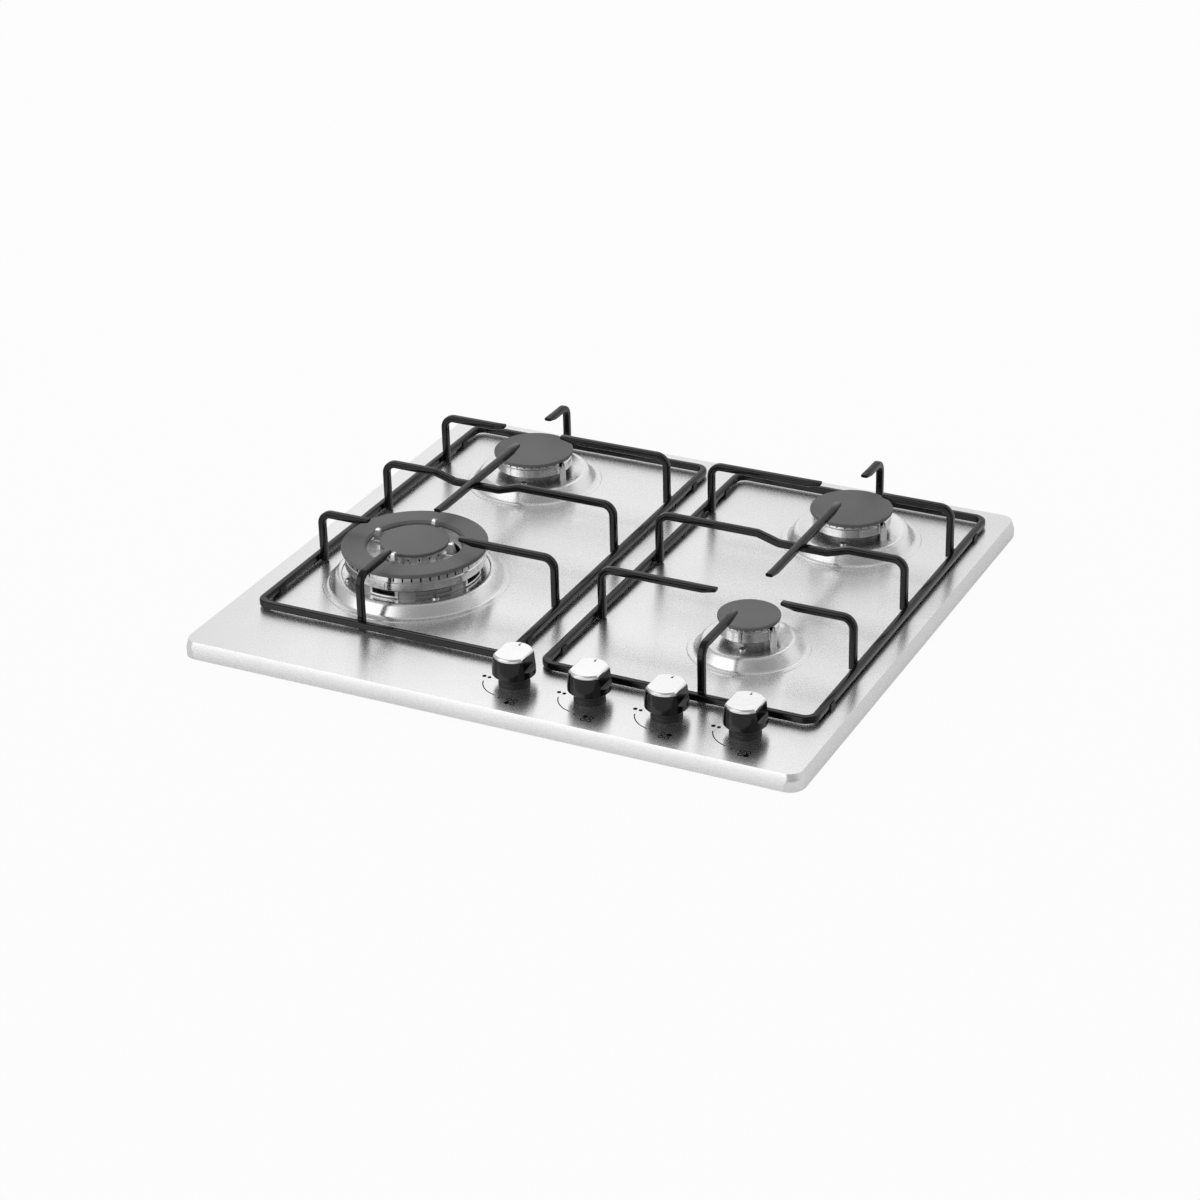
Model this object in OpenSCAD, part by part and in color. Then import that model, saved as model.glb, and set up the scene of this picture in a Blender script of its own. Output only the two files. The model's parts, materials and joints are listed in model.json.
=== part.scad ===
// Four-burner gas cooktop that drops into a worktop cut-out.
// Millimetres. +X to the right, +Y to the back, +Z up.
// The origin lies under the middle of the burner box, on the surface that the box stands on.

/* [Top plate] */
// Width of the pressed plate
plate_w = 580; // [560:5:640]
// Depth of the pressed plate, front to back
plate_d = 520; // [500:5:560]
// Sheet thickness of the plate
plate_t = 1; // [0.8:0.1:1.4]
// Corner radius of the plate, seen from above
plate_corner_r = 14; // [8:1:24]
// Height of the upright skirt round the plate
skirt_h = 7.2; // [5:0.2:9]
// Rise of the steep bevel above the skirt
bevel_h = 8.3; // [5:0.1:10]
// Run of the steep bevel, from the skirt to the flat top
bevel_run = 2.5; // [2:0.1:6]
// Width of the lip that turns in under the skirt
lip_w = 18; // [16:0.5:22]
// Height of the worktop seal under the lip
seal_h = 1.5; // [1:0.1:3]
// Width of the worktop seal
seal_w = 9; // [6:0.5:9]

/* [Burner box] */
// Depth of the box below the worktop
box_h = 50; // [46:1:60]
// Sheet thickness of the box
box_t = 1; // [0.8:0.1:1.2]
// Width of the flange that carries the box
box_flange = 8; // [6:0.5:9]
// Corner radius of the box
box_corner_r = 6; // [4:0.5:12]

/* [Burner layout] */
// Sideways shift of the burners and supports from the plate's middle
layout_shift = 4; // [0:0.5:6]
// Distance between the left and right burner centres
burner_pitch_x = 324; // [318:1:330]
// Distance of the front burner centres in front of the plate's middle
front_burner_y = 75.5; // [70:0.5:80]
// Distance of the rear burner centres behind the plate's middle
rear_burner_y = 155.5; // [150:0.5:160]

/* [Burner sizes] */
// Cap radius of the auxiliary burner
aux_cap_r = 27.2; // [26:0.1:29]
// Cap radius of the semi-rapid burners
semi_cap_r = 37.5; // [36:0.1:39]
// Outer cap radius of the triple-ring burner
wok_cap_r = 65.5; // [64:0.1:67]
// Inner edge of the outer cap of the triple-ring burner
wok_ring_r = 43; // [42.5:0.1:44]
// Cap radius in the middle of the triple-ring burner
wok_core_r = 31; // [30:0.1:31.5]
// Thickness of a burner cap at its rim
cap_t = 3.3; // [2.6:0.1:3.6]

/* [Pressed domes] */
// Height of each raised dome above the plate
dome_h = 11.5; // [10:0.5:13]
// Base radius of the auxiliary burner's dome
aux_dome_r = 48.6; // [46:0.1:50]
// Base radius of a semi-rapid burner's dome
semi_dome_r = 59.3; // [57:0.1:61]
// Base radius of the triple-ring burner's dome
wok_dome_r = 79.5; // [78:0.1:81]
// Width of a dome's sloping wall, seen from above
dome_wall = 12; // [10:0.5:13]
// Depth of the dish inside a dome's crest
dome_dish = 1.2; // [0.8:0.1:1.6]

/* [Pan supports] */
// Width of one support frame
support_w = 253; // [246:1:258]
// Depth of one support frame
support_d = 417; // [405:1:420]
// Distance between the middles of the two supports
support_pitch_x = 280; // [272:1:286]
// Distance of the support middles behind the plate's middle
support_y = 26.5; // [22:0.5:30]
// Width and height of the square bar
bar = 6.5; // [5.5:0.1:7]
// Width of the bevel along the square bar's edges
bar_edge = 1.2; // [0.8:0.1:1.6]
// Bend radius on the middle line of the bar
bend_r = 10; // [8:0.5:12]
// Gap under the frame, made by the feet
foot_gap = 1.5; // [1:0.1:2.5]
// Height of the pan level above the frame's underside
pan_h = 50; // [47:0.5:56]
// Free radius between the finger tips over a small burner
tip_reach = 30; // [27:0.5:36]
// Free radius between the finger tips over the triple-ring burner
wok_tip_reach = 46; // [43:0.5:50]
// Place of the cross member behind the plate's middle
member_y = 42; // [38:0.5:46]

/* [Knobs] */
// Place of the first knob to the right of the plate's middle
knob_x = 10.5; // [4:0.5:14]
// Distance from knob to knob
knob_pitch = 70.4; // [66:0.2:74]
// Distance of the knob row in front of the plate's middle
knob_y = 210; // [208:0.5:216]
// Radius of the knob's round skirt
knob_r = 18.6; // [17:0.2:20]
// Height of the knob's top above the plate
knob_h = 30; // [28:0.5:33]
// Half the distance between the knob's two flats
knob_flat = 15; // [13:0.1:16]
// Push-in travel that trips the ignition switch
knob_push = 3.5; // [2:0.1:4]

/* [Hidden] */

// Smoothness of round shapes
$fn = 64;
// Points along a rounded stretch of an outline
arc_steps = 4;
// Overrun of every cut, and the gap between parts that only lie beside each other
cut = 1;
gap = 0.3;
// Radial clearance of a turning or sliding fit
fit_gap = 0.05;

// Heights
z_worktop = box_h;
z_lip = z_worktop + seal_h;
z_skirt = z_worktop + skirt_h;
z_deck = z_skirt + bevel_h;
z_under = z_deck - plate_t;
z_crest = z_deck + dome_h;
z_dish = z_crest - dome_dish;

// Burner centres
left_x = layout_shift - burner_pitch_x / 2;
right_x = layout_shift + burner_pitch_x / 2;
wok_at = [left_x, -front_burner_y];
rear_left_at = [left_x, rear_burner_y];
rear_right_at = [right_x, rear_burner_y];
aux_at = [right_x, -front_burner_y];

// Box outline, inside the lip of the plate
box_gap = 0.5;
box_w = plate_w - 2 * (lip_w + box_gap);
box_d = plate_d - 2 * (lip_w + box_gap);
flange_t = box_t;
lip_t = plate_t;

// Heights of the burner parts above the plate
aux_band = [17.4, 30.2];
semi_band = [17, 28.7];
wok_band = [19.3, 33.5];

// Share of a cap's radius that the spreader's band keeps, and of the neck below it
band_share = 0.965;
neck_share = 0.66;
wok_neck_share = 0.885;

// The burners: place, cap radius, dome radius, band heights, neck radius and angle of the spark plug
wok = [wok_at, wok_cap_r, wok_dome_r, wok_band, wok_neck_share * wok_cap_r, 165];
rear_left = [rear_left_at, semi_cap_r, semi_dome_r, semi_band, neck_share * semi_cap_r, -15];
rear_right = [rear_right_at, semi_cap_r, semi_dome_r, semi_band, neck_share * semi_cap_r, -15];
aux = [aux_at, aux_cap_r, aux_dome_r, aux_band, neck_share * aux_cap_r, -15];
burners = [wok, rear_left, rear_right, aux];
function at(b) = b[0];
function cap_r(b) = b[1];
function dome_r(b) = b[2];
function band_low(b) = b[3][0];
function band_top(b) = b[3][1];
function neck_r(b) = b[4];
function plug_turn(b) = b[5];
function band_r(b) = band_share * cap_r(b);
function cup_hole_r(b) = neck_r(b) + gap;

function arc_points(middle, r, from, to) = [
    for (i = [0 : arc_steps]) let (a = from + (to - from) * i / arc_steps)
        middle + r * [cos(a), sin(a)]
];
function reversed(list) = [for (i = [len(list) - 1 : -1 : 0]) list[i]];
function shifted(list, by) = [for (p = list) p + by];

// A rectangle about the origin with round corners
module round_rect(w, d, r) {
    square([w - 2 * r, d], center = true);
    square([w, d - 2 * r], center = true);
    for (x = [-1, 1], y = [-1, 1])
        translate([x * (w / 2 - r), y * (d / 2 - r)])
            circle(r);
}

// The wall between a round rectangle and a smaller one
module rect_ring(w, d, r, wall) {
    difference() {
        round_rect(w, d, r);
        round_rect(w - 2 * wall, d - 2 * wall, max(r - wall, wall / 2));
    }
}

// A tube or ring standing on the plane z = 0
module ring(r_out, r_in, h) {
    difference() {
        cylinder(r = r_out, h = h);
        translate([0, 0, -cut])
            cylinder(r = r_in, h = h + 2 * cut);
    }
}

// Sweeps its child outline along straight runs and the turns between them, to the left when positive;
// the outline's own X points to the left of the way it goes
module bent(runs, turns, r, i = 0) {
    run = i < len(runs) ? runs[i] : 0;
    if (run > 0)
        rotate([90, 0, 90])
            linear_extrude(run)
                children();
    if (i < len(turns)) {
        turn = turns[i];
        side = turn > 0 ? 1 : -1;
        translate([run, 0, 0]) {
            translate([0, side * r, 0])
                mirror([0, side > 0 ? 0 : 1, 0])
                    rotate([0, 0, -90])
                        rotate_extrude(angle = abs(turn))
                            translate([r, 0])
                                mirror([side > 0 ? 1 : 0, 0])
                                    children();
            translate([r * sin(abs(turn)), side * r * (1 - cos(turn)), 0])
                rotate([0, 0, turn])
                    bent(runs, turns, r, i + 1)
                        children();
        }
    }
}

// A pan-head screw that points down, with its head on the plane z = 0 and a cross recess
module pan_screw(shank_r, shank_l) {
    head_r = 2 * shank_r;
    head_h = 1.2 * shank_r;
    slot_w = 0.4 * shank_r;
    difference() {
        cylinder(r1 = head_r, r2 = 0.8 * head_r, h = head_h);
        for (a = [0, 90])
            rotate([0, 0, a])
                translate([-0.6 * head_r, -slot_w / 2, head_h / 2])
                    cube([1.2 * head_r, slot_w, head_h]);
    }
    translate([0, 0, -shank_l])
        cylinder(r = shank_r, h = shank_l);
}

/* Top plate */

rim_strip = 6;
dome_step_w = 4.8;
dome_step_h = 0.6;
dish_margin = 0.5;
crest_edge_r = 5;
base_edge_r = 4;
knob_hole_r = 6;
cup_screw_r = 1.7;
cup_screw_inset = 3;
// Angles of the screws that hold each cup: four on the large burner, two on the others
wok_screw_turns = [45, 135, 225, 315];
small_screw_turns = [100, 280];
ceramic_r = 3;

// Angle at which a dome's wall leaves the round of its crest and meets the hollow at its base
edge_sum = crest_edge_r + base_edge_r;
wall_rise = dome_h - dome_step_h - edge_sum;
wall_turn = acos(edge_sum / norm([dome_wall, wall_rise])) - atan2(wall_rise, dome_wall);

// Upper line of a dome, from its outer step to the hole in its dish
function dome_line(b) = concat(
    [[dome_r(b) + dome_step_w, 0], [dome_r(b) + dome_step_w - dome_step_h, dome_step_h]],
    arc_points([dome_r(b) + base_edge_r / 4, dome_step_h + base_edge_r], base_edge_r,
               270, 180 + wall_turn),
    arc_points([dome_r(b) + base_edge_r / 4 - dome_wall, dome_h - crest_edge_r], crest_edge_r,
               wall_turn, 110),
    [[cap_r(b) + dish_margin, dome_h - dome_dish], [cup_hole_r(b), dome_h - dome_dish]]
);

// Puts its child at each screw of one burner's cup, on the dish
module cup_screw_places(b) {
    for (a = b == wok ? wok_screw_turns : small_screw_turns)
        translate([at(b).x, at(b).y, z_dish])
            rotate([0, 0, a])
                translate([cap_r(b) - cup_screw_inset, 0, 0])
                    children();
}

// Puts its child where one burner's spark plug stands, on the worktop's level
module plug_place(b) {
    translate([at(b).x, at(b).y, 0])
        rotate([0, 0, plug_turn(b)])
            translate([band_r(b), 0, 0])
                children();
}

module dome(b) {
    line = dome_line(b);
    difference() {
        translate([at(b).x, at(b).y, z_deck])
            rotate_extrude()
                polygon(concat(line, reversed(shifted(line, [0, -plate_t]))));
        cup_screw_places(b)
            translate([0, 0, -plate_t - cut])
                cylinder(r = cup_screw_r + fit_gap, h = plate_t + 2 * cut);
        plug_place(b)
            translate([0, 0, z_dish - plate_t - cut])
                cylinder(r = ceramic_r + gap, h = plate_t + 2 * cut);
    }
}

// Cross section of the plate's edge, from the skirt over the bevel to a strip of the flat top;
// X runs inward from the skirt's outer face
module rim_section() {
    outer = [[0, z_worktop], [0, z_skirt], [bevel_run, z_deck], [bevel_run + rim_strip, z_deck]];
    inner = [
        [plate_t, z_worktop], [plate_t, z_skirt - plate_t / 2], [bevel_run + plate_t, z_under],
        [bevel_run + rim_strip, z_under]
    ];
    polygon(concat(outer, reversed(inner)));
}

// The skirt and bevel all the way round
module plate_rim() {
    run_x = plate_w - 2 * plate_corner_r;
    run_y = plate_d - 2 * plate_corner_r;
    translate([-run_x / 2, -plate_d / 2, 0])
        bent([run_x, run_y, run_x, run_y], [90, 90, 90, 90], plate_corner_r)
            rim_section();
}

// The flat top with its holes, which overlaps half of the rim's strip
module plate_flat() {
    inset = bevel_run + rim_strip / 2;
    translate([0, 0, z_under])
        linear_extrude(plate_t)
            difference() {
                round_rect(plate_w - 2 * inset, plate_d - 2 * inset, plate_corner_r - inset);
                for (b = burners)
                    translate(at(b))
                        circle(dome_r(b) + dome_step_w - dome_step_h);
                for (k = [1 : 4])
                    translate([tap_x(k), -knob_y])
                        circle(knob_hole_r);
            }
}

module top_plate() {
    color("gainsboro") {
        plate_rim();
        plate_flat();
        for (b = burners)
            dome(b);
        plate_lip();
    }
}

// The lip that turns in under the skirt and takes the box screws
module plate_lip() {
    difference() {
        translate([0, 0, z_lip])
            linear_extrude(lip_t)
                rect_ring(plate_w - plate_t, plate_d - plate_t, plate_corner_r - plate_t / 2,
                          lip_w - plate_t / 2);
        box_screw_places()
            translate([0, 0, z_lip - cut])
                cylinder(r = box_screw_r, h = lip_t + 2 * cut);
    }
}

module worktop_seal() {
    color("dimgray")
        translate([0, 0, z_worktop])
            linear_extrude(seal_h)
                rect_ring(plate_w - 2 * plate_t, plate_d - 2 * plate_t, plate_corner_r - plate_t,
                          seal_w - plate_t);
}

/* Burner box */

box_screw_r = 1.9;
inlet_hole_r = 12;
gland_x = -130;
gland_z = 25;
gland_hole_r = 7;
vent_w = 4;
vent_l = 26;
vent_pitch = 9;
vents = 6;

// Puts its child at each screw that holds the box to the lip
module box_screw_places() {
    x = box_w / 2 + box_flange / 2;
    y = box_d / 2 + box_flange / 2;
    for (s = [-1, 1]) {
        for (share = [-0.6, 0.6])
            translate([share * box_w / 2, s * y, 0])
                children();
        for (share = [-0.6, 0.6])
            translate([s * x, share * box_d / 2, 0])
                children();
    }
}

module burner_box() {
    color("silver")
        difference() {
            union() {
                difference() {
                    linear_extrude(z_lip)
                        round_rect(box_w, box_d, box_corner_r);
                    translate([0, 0, box_t])
                        linear_extrude(z_lip)
                            round_rect(box_w - 2 * box_t, box_d - 2 * box_t, box_corner_r - box_t);
                }
                translate([0, 0, z_lip - flange_t])
                    linear_extrude(flange_t)
                        rect_ring(box_w + 2 * box_flange, box_d + 2 * box_flange, box_corner_r + box_flange,
                                  box_flange + box_t / 2);
            }
            box_screw_places()
                translate([0, 0, z_lip - flange_t - cut])
                    cylinder(r = box_screw_r + fit_gap, h = flange_t + 2 * cut);
            translate([inlet_x, box_d / 2 + cut, rail_z])
                rotate([90, 0, 0])
                    cylinder(r = inlet_hole_r, h = box_t + 2 * cut);
            translate([gland_x, box_d / 2 + cut, gland_z])
                rotate([90, 0, 0])
                    cylinder(r = gland_hole_r, h = box_t + 2 * cut);
            for (side = [-1, 1], i = [0 : vents - 1])
                translate([side * (box_w / 2 - box_t / 2), (i - (vents - 1) / 2) * vent_pitch, z_lip / 2])
                    rotate([0, 90, 0])
                        translate([0, 0, -box_t / 2 - cut])
                            linear_extrude(box_t + 2 * cut)
                                round_rect(vent_l, vent_w, vent_w / 2 - fit_gap);
        }
}

module box_screws() {
    color("silver")
        box_screw_places()
            translate([0, 0, z_lip - flange_t])
                mirror([0, 0, 1])
                    pan_screw(box_screw_r, flange_t + lip_t + box_screw_r);
}

/* Worktop clamps */

clamp_w = 16;
clamp_t = 1.5;
clamp_drop = 24;
clamp_screw_r = 2;
clamp_x_share = 0.72;
// Reach of a clamp's foot under the worktop
clamp_reach = 14;

// Puts its child at each clamp, on the outside of the box's front and back walls
module clamp_places() {
    for (side = [-1, 1], x = [-1, 1])
        rotate([0, 0, side > 0 ? 180 : 0])
            translate([x * clamp_x_share * box_w / 2, -box_d / 2, z_lip / 2])
                children();
}

module worktop_clamps() {
    color("silver")
        clamp_places()
            rotate([90, 0, 90])
                translate([0, 0, -clamp_w / 2])
                    difference() {
                        linear_extrude(clamp_w)
                            polygon([
                                [0, clamp_drop / 2], [-clamp_t, clamp_drop / 2],
                                [-clamp_t, clamp_t - clamp_drop / 2],
                                [-clamp_reach, clamp_t - clamp_drop / 2],
                                [-clamp_reach, 2 * clamp_t - clamp_drop / 2],
                                [-clamp_reach - clamp_t, 2 * clamp_t - clamp_drop / 2],
                                [-clamp_reach - clamp_t, -clamp_drop / 2], [0, -clamp_drop / 2]
                            ]);
                        translate([-clamp_t - cut, 0, clamp_w / 2])
                            rotate([0, 90, 0])
                                cylinder(r = clamp_screw_r, h = clamp_t + 2 * cut);
                    }
}

module clamp_screws() {
    color("silver")
        clamp_places()
            translate([0, -clamp_t, 0])
                rotate([90, 0, 0])
                    pan_screw(clamp_screw_r, clamp_t);
}

/* Gas rail, taps and pipes */

rail_r = 7;
rail_bore_r = 5.5;
rail_z = 16;
pipe_r = 3;
pipe_bore_r = 2;
pipe_bend_r = 10;
pipe_z = 38;
inlet_pipe_r = 6;
inlet_bore_r = 4.8;
inlet_bend_r = 14;
thread_r = 10.48;
thread_l = 16;
nipple_hex_r = 14;
nut_r = 8;
nut_h = 7;
tap_w = 20;
tap_d = 22;
plug_r = 7;
plug_l = 20;
plug_z = 30;
plug_slot_w = 2.1;
plug_slot_h = 16;
plug_socket_h = 12;
spindle_r = 3;
spout_r = 5.5;
spout_l = 8;
bonnet_t = 1.5;
bonnet_screw_r = 1.2;
saddle_w = 10;
saddle_t = 1.5;
boss_r = 6;
boss_l = 8;

function tap_x(k) = knob_x + (k - 1) * knob_pitch;

tap_top_z = plug_z + plug_l + fit_gap;
rail_start = knob_x - 2 * rail_r - tap_w / 2;
rail_end = tap_x(4) + (tap_w + rail_r) / 2;
inlet_x = rail_end + inlet_bend_r;
spout_y = tap_d / 2 + spout_l - knob_y;

// A tube along +X with its bore open at the far end
module gas_rail() {
    color("silver")
        difference() {
            translate([rail_start, -knob_y, rail_z])
                rotate([0, 90, 0])
                    difference() {
                        cylinder(r = rail_r, h = rail_end - rail_start);
                        translate([0, 0, rail_r])
                            cylinder(r = rail_bore_r, h = rail_end - rail_start);
                    }
            for (k = [1 : 4])
                translate([tap_x(k), -knob_y, rail_z])
                    cylinder(r = pipe_bore_r, h = rail_r + cut);
        }
}

// Two stirrups that hold the rail down on the floor of the box
module rail_saddles() {
    color("silver")
        for (k = [1.5, 3.5])
            translate([tap_x(k) - saddle_w / 2, -knob_y, 0])
                rotate([90, 0, 90])
                    linear_extrude(saddle_w)
                        difference() {
                            union() {
                                translate([0, rail_z])
                                    circle(r = rail_r + fit_gap + saddle_t);
                                translate([-rail_r - saddle_t, box_t])
                                    square([2 * (rail_r + saddle_t), rail_z - box_t]);
                                translate([-2 * rail_r, box_t])
                                    square([4 * rail_r, saddle_t]);
                            }
                            translate([0, rail_z])
                                circle(r = rail_r + fit_gap);
                            translate([-rail_r - fit_gap, 0])
                                square([2 * (rail_r + fit_gap), rail_z]);
                        }
}

module inlet_pipe() {
    color("silver")
        translate([rail_end, -knob_y, rail_z])
            bent([0, box_d / 2 - box_t - boss_l - inlet_bend_r + knob_y], [90], inlet_bend_r)
                difference() {
                    circle(r = inlet_pipe_r);
                    circle(r = inlet_bore_r);
                }
}

// The threaded inlet that stands out of the back wall
module inlet_nipple() {
    color("goldenrod")
        translate([inlet_x, box_d / 2 - box_t - boss_l, rail_z])
            rotate([-90, 0, 0])
                difference() {
                    union() {
                        cylinder(r = nipple_hex_r, h = boss_l, $fn = 6);
                        cylinder(r = thread_r, h = boss_l + box_t + thread_l);
                    }
                    translate([0, 0, -cut])
                        cylinder(r = inlet_bore_r, h = boss_l + box_t + thread_l + 2 * cut);
                }
}

module pipe_outline() {
    difference() {
        circle(r = pipe_r);
        circle(r = pipe_bore_r);
    }
}

// The four pipes from the taps to the cups, each with its own way round the other cups
module feed_pipes() {
    r = pipe_bend_r;
    side_run = rear_right_at.x - burner_pitch_x / 6;
    first_run = 3 * r;
    color("lightgray") {
        pipe_start(1)
            bent([wok_at.y - spout_y - r, tap_x(1) - r - boss_x(wok, 1)], [90], r)
                pipe_outline();
        pipe_start(2)
            bent([rear_left_at.y - spout_y - r, tap_x(2) - r - boss_x(rear_left, 1)], [90], r)
                pipe_outline();
        pipe_start(3)
            bent([first_run, tap_x(3) - 2 * r - side_run, rear_right_at.y - spout_y - first_run - 3 * r,
                  boss_x(rear_right, -1) - side_run - r], [90, -90, -90], r)
                pipe_outline();
        pipe_start(4)
            bent([aux_at.y - spout_y - r, tap_x(4) - r - boss_x(aux, 1)], [90], r)
                pipe_outline();
    }
}

module pipe_start(k) {
    translate([tap_x(k), spout_y, pipe_z])
        rotate([0, 0, 90])
            children();
}

// Where the pipe meets the boss of a cup, on its right (1) or left (-1) side
function boss_x(b, side) = at(b).x + side * (neck_r(b) + boss_l);

module nut() {
    difference() {
        cylinder(r = nut_r, h = nut_h, $fn = 6);
        translate([0, 0, -cut])
            cylinder(r = pipe_r + fit_gap, h = nut_h + 2 * cut);
    }
}

module pipe_nuts() {
    color("goldenrod") {
        for (k = [1 : 4])
            translate([tap_x(k), spout_y, pipe_z])
                rotate([-90, 0, 0])
                    nut();
        for (b = [wok, rear_left, aux])
            translate([boss_x(b, 1), at(b).y, pipe_z])
                rotate([0, 90, 0])
                    nut();
        translate([boss_x(rear_right, -1), rear_right_at.y, pipe_z])
            rotate([0, -90, 0])
                nut();
    }
}

// Tap body: a block over the rail, the plug's chamber and the spout to the back
module tap_body(k) {
    color("darkgoldenrod")
        translate([tap_x(k), -knob_y, 0])
            difference() {
                union() {
                    translate([-tap_w / 2, -tap_d / 2, rail_z])
                        cube([tap_w, tap_d, plug_z - rail_z]);
                    translate([0, 0, plug_z])
                        cylinder(r = tap_w / 2, h = tap_top_z - plug_z);
                    for (s = [-1, 1])
                        translate([s * tap_w / 2, 0, plug_z])
                            cylinder(r = 2 * bonnet_screw_r, h = tap_top_z - plug_z);
                    translate([0, 0, pipe_z])
                        rotate([-90, 0, 0])
                            cylinder(r = spout_r, h = spout_y + knob_y);
                }
                translate([0, 0, plug_z])
                    cylinder(r = plug_r + fit_gap, h = plug_l + cut);
                translate([0, 0, pipe_z])
                    rotate([-90, 0, 0])
                        cylinder(r = pipe_bore_r, h = spout_y + knob_y + cut);
                translate([0, 0, rail_z])
                    cylinder(r = pipe_bore_r, h = plug_z);
                translate([-tap_w / 2 - cut, 0, rail_z])
                    rotate([0, 90, 0])
                        cylinder(r = rail_r + fit_gap, h = tap_w + 2 * cut);
                for (s = [-1, 1])
                    translate([s * tap_w / 2, 0, tap_top_z - 2 * bonnet_t])
                        cylinder(r = bonnet_screw_r + fit_gap, h = 2 * bonnet_t + cut);
            }
}

module tap_body_1() { tap_body(1); }
module tap_body_2() { tap_body(2); }
module tap_body_3() { tap_body(3); }
module tap_body_4() { tap_body(4); }

// The plates that hold the plugs down, each with its two screws
module tap_bonnets() {
    color("silver")
        for (k = [1 : 4])
            translate([tap_x(k), -knob_y, tap_top_z]) {
                difference() {
                    linear_extrude(bonnet_t)
                        union() {
                            circle(r = tap_w / 2);
                            for (s = [-1, 1])
                                translate([s * tap_w / 2, 0])
                                    circle(r = 2 * bonnet_screw_r);
                        }
                    translate([0, 0, -cut])
                        cylinder(r = spindle_r + gap, h = bonnet_t + 2 * cut);
                }
                for (s = [-1, 1])
                    translate([s * tap_w / 2, 0, bonnet_t])
                        pan_screw(bonnet_screw_r, 2 * bonnet_t);
            }
}

// Turning plug with its gas ways, and the slot that the spindle's tongue slides in
module tap_plug(k) {
    color("goldenrod")
        translate([tap_x(k), -knob_y, plug_z + fit_gap / 2])
            difference() {
                cylinder(r = plug_r, h = plug_l);
                translate([-0.6 * plug_r - spindle_r / 2, -plug_slot_w / 2, plug_l - plug_slot_h])
                    cube([1.2 * plug_r + spindle_r, plug_slot_w, plug_slot_h + cut]);
                translate([0, 0, plug_l - plug_socket_h])
                    cylinder(r = spindle_r + fit_gap, h = plug_socket_h + cut);
                translate([0, 0, -cut])
                    cylinder(r = pipe_bore_r, h = plug_l - plug_slot_h);
            }
}

module tap_plug_1() { tap_plug(1); }
module tap_plug_2() { tap_plug(2); }
module tap_plug_3() { tap_plug(3); }
module tap_plug_4() { tap_plug(4); }

/* Cups and burners */

cup_wall = 3;
cup_floor = 3;
cup_flange_t = 2.5;
boss_wall = 1.5;
cup_low_z = pipe_z - boss_r - boss_wall;
jet_hex_r = 4.5;
jet_h = 9;
jet_boss_r = 7;
window_turn = 22;
window_edge = 1.2;
spigot_h = 6;
plate_floor = 2.5;
tube_r = 8;
tube_bore_r = 6;
port_w = 1.4;
port_h = 2.2;
wok_port_h = 5.3;
band_wall = 3;
band_edge = 1;
// The polished band stands out from the ring with the ports above it
band_step = 0.7;
cap_edge_r = 1;
cap_lip_t = 1.5;
cap_lip_h = 2.5;

// Outline of a cup, from the floor to the rim that carries the spreader
module cup_outline(b) {
    r = neck_r(b);
    top = z_deck + band_low(b);
    flange = z_dish - plate_t;
    polygon([
        [0, cup_low_z], [r, cup_low_z], [r, flange - cup_flange_t],
        [cap_r(b) + cup_screw_inset / 2, flange - cup_flange_t],
        [cap_r(b) + cup_screw_inset / 2, flange], [r, flange], [r, top], [r - cup_wall, top],
        [r - cup_wall, cup_low_z + cup_floor], [jet_boss_r, cup_low_z + cup_floor],
        [jet_boss_r, pipe_z + boss_r], [0, pipe_z + boss_r]
    ]);
}

// Air windows in the neck of a cup, halfway between its four screws
module cup_windows(b) {
    window_h = z_deck + band_low(b) - z_dish - 2 * window_edge;
    for (a = wok_screw_turns)
        translate([at(b).x, at(b).y, z_dish + window_edge])
            rotate([0, 0, a + 45 - window_turn / 2])
                rotate_extrude(angle = window_turn)
                    translate([neck_r(b) - cup_wall - cut, 0])
                        square([cup_wall + 2 * cut, window_h]);
}

module cup(b, side) {
    color("darkgray")
        difference() {
            union() {
                translate([at(b).x, at(b).y, 0])
                    rotate_extrude()
                        cup_outline(b);
                translate([at(b).x, at(b).y, pipe_z])
                    rotate([0, side * 90, 0])
                        cylinder(r = boss_r, h = neck_r(b) + boss_l);
            }
            translate([at(b).x, at(b).y, pipe_z])
                rotate([0, side * 90, 0])
                    cylinder(r = pipe_bore_r, h = neck_r(b) + boss_l + cut);
            translate([at(b).x, at(b).y, pipe_z])
                cylinder(r = pipe_bore_r, h = boss_r + cut);
            cup_screw_places(b)
                translate([0, 0, -plate_t - cup_flange_t - cut])
                    cylinder(r = cup_screw_r + fit_gap, h = cup_flange_t + 2 * cut);
            plug_place(b)
                translate([0, 0, z_dish - plate_t - cup_flange_t - cut])
                    cylinder(r = ceramic_r + gap, h = cup_flange_t + 2 * cut);
            if (b == wok)
                cup_windows(b);
        }
}

module wok_cup() { cup(wok, 1); }
module rear_left_cup() { cup(rear_left, 1); }
module rear_right_cup() { cup(rear_right, -1); }
module aux_cup() { cup(aux, 1); }

module cup_screws() {
    color("silver")
        for (b = burners)
            cup_screw_places(b)
                pan_screw(cup_screw_r, plate_t + cup_flange_t + cup_screw_r);
}

module gas_jets() {
    color("goldenrod")
        for (b = burners)
            translate([at(b).x, at(b).y, pipe_z + boss_r])
                difference() {
                    union() {
                        cylinder(r = jet_hex_r, h = jet_h / 2, $fn = 6);
                        cylinder(r1 = 0.8 * jet_hex_r, r2 = pipe_bore_r, h = jet_h);
                    }
                    translate([0, 0, -cut])
                        cylinder(r = pipe_bore_r / 4, h = jet_h + 2 * cut);
                }
}

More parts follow.
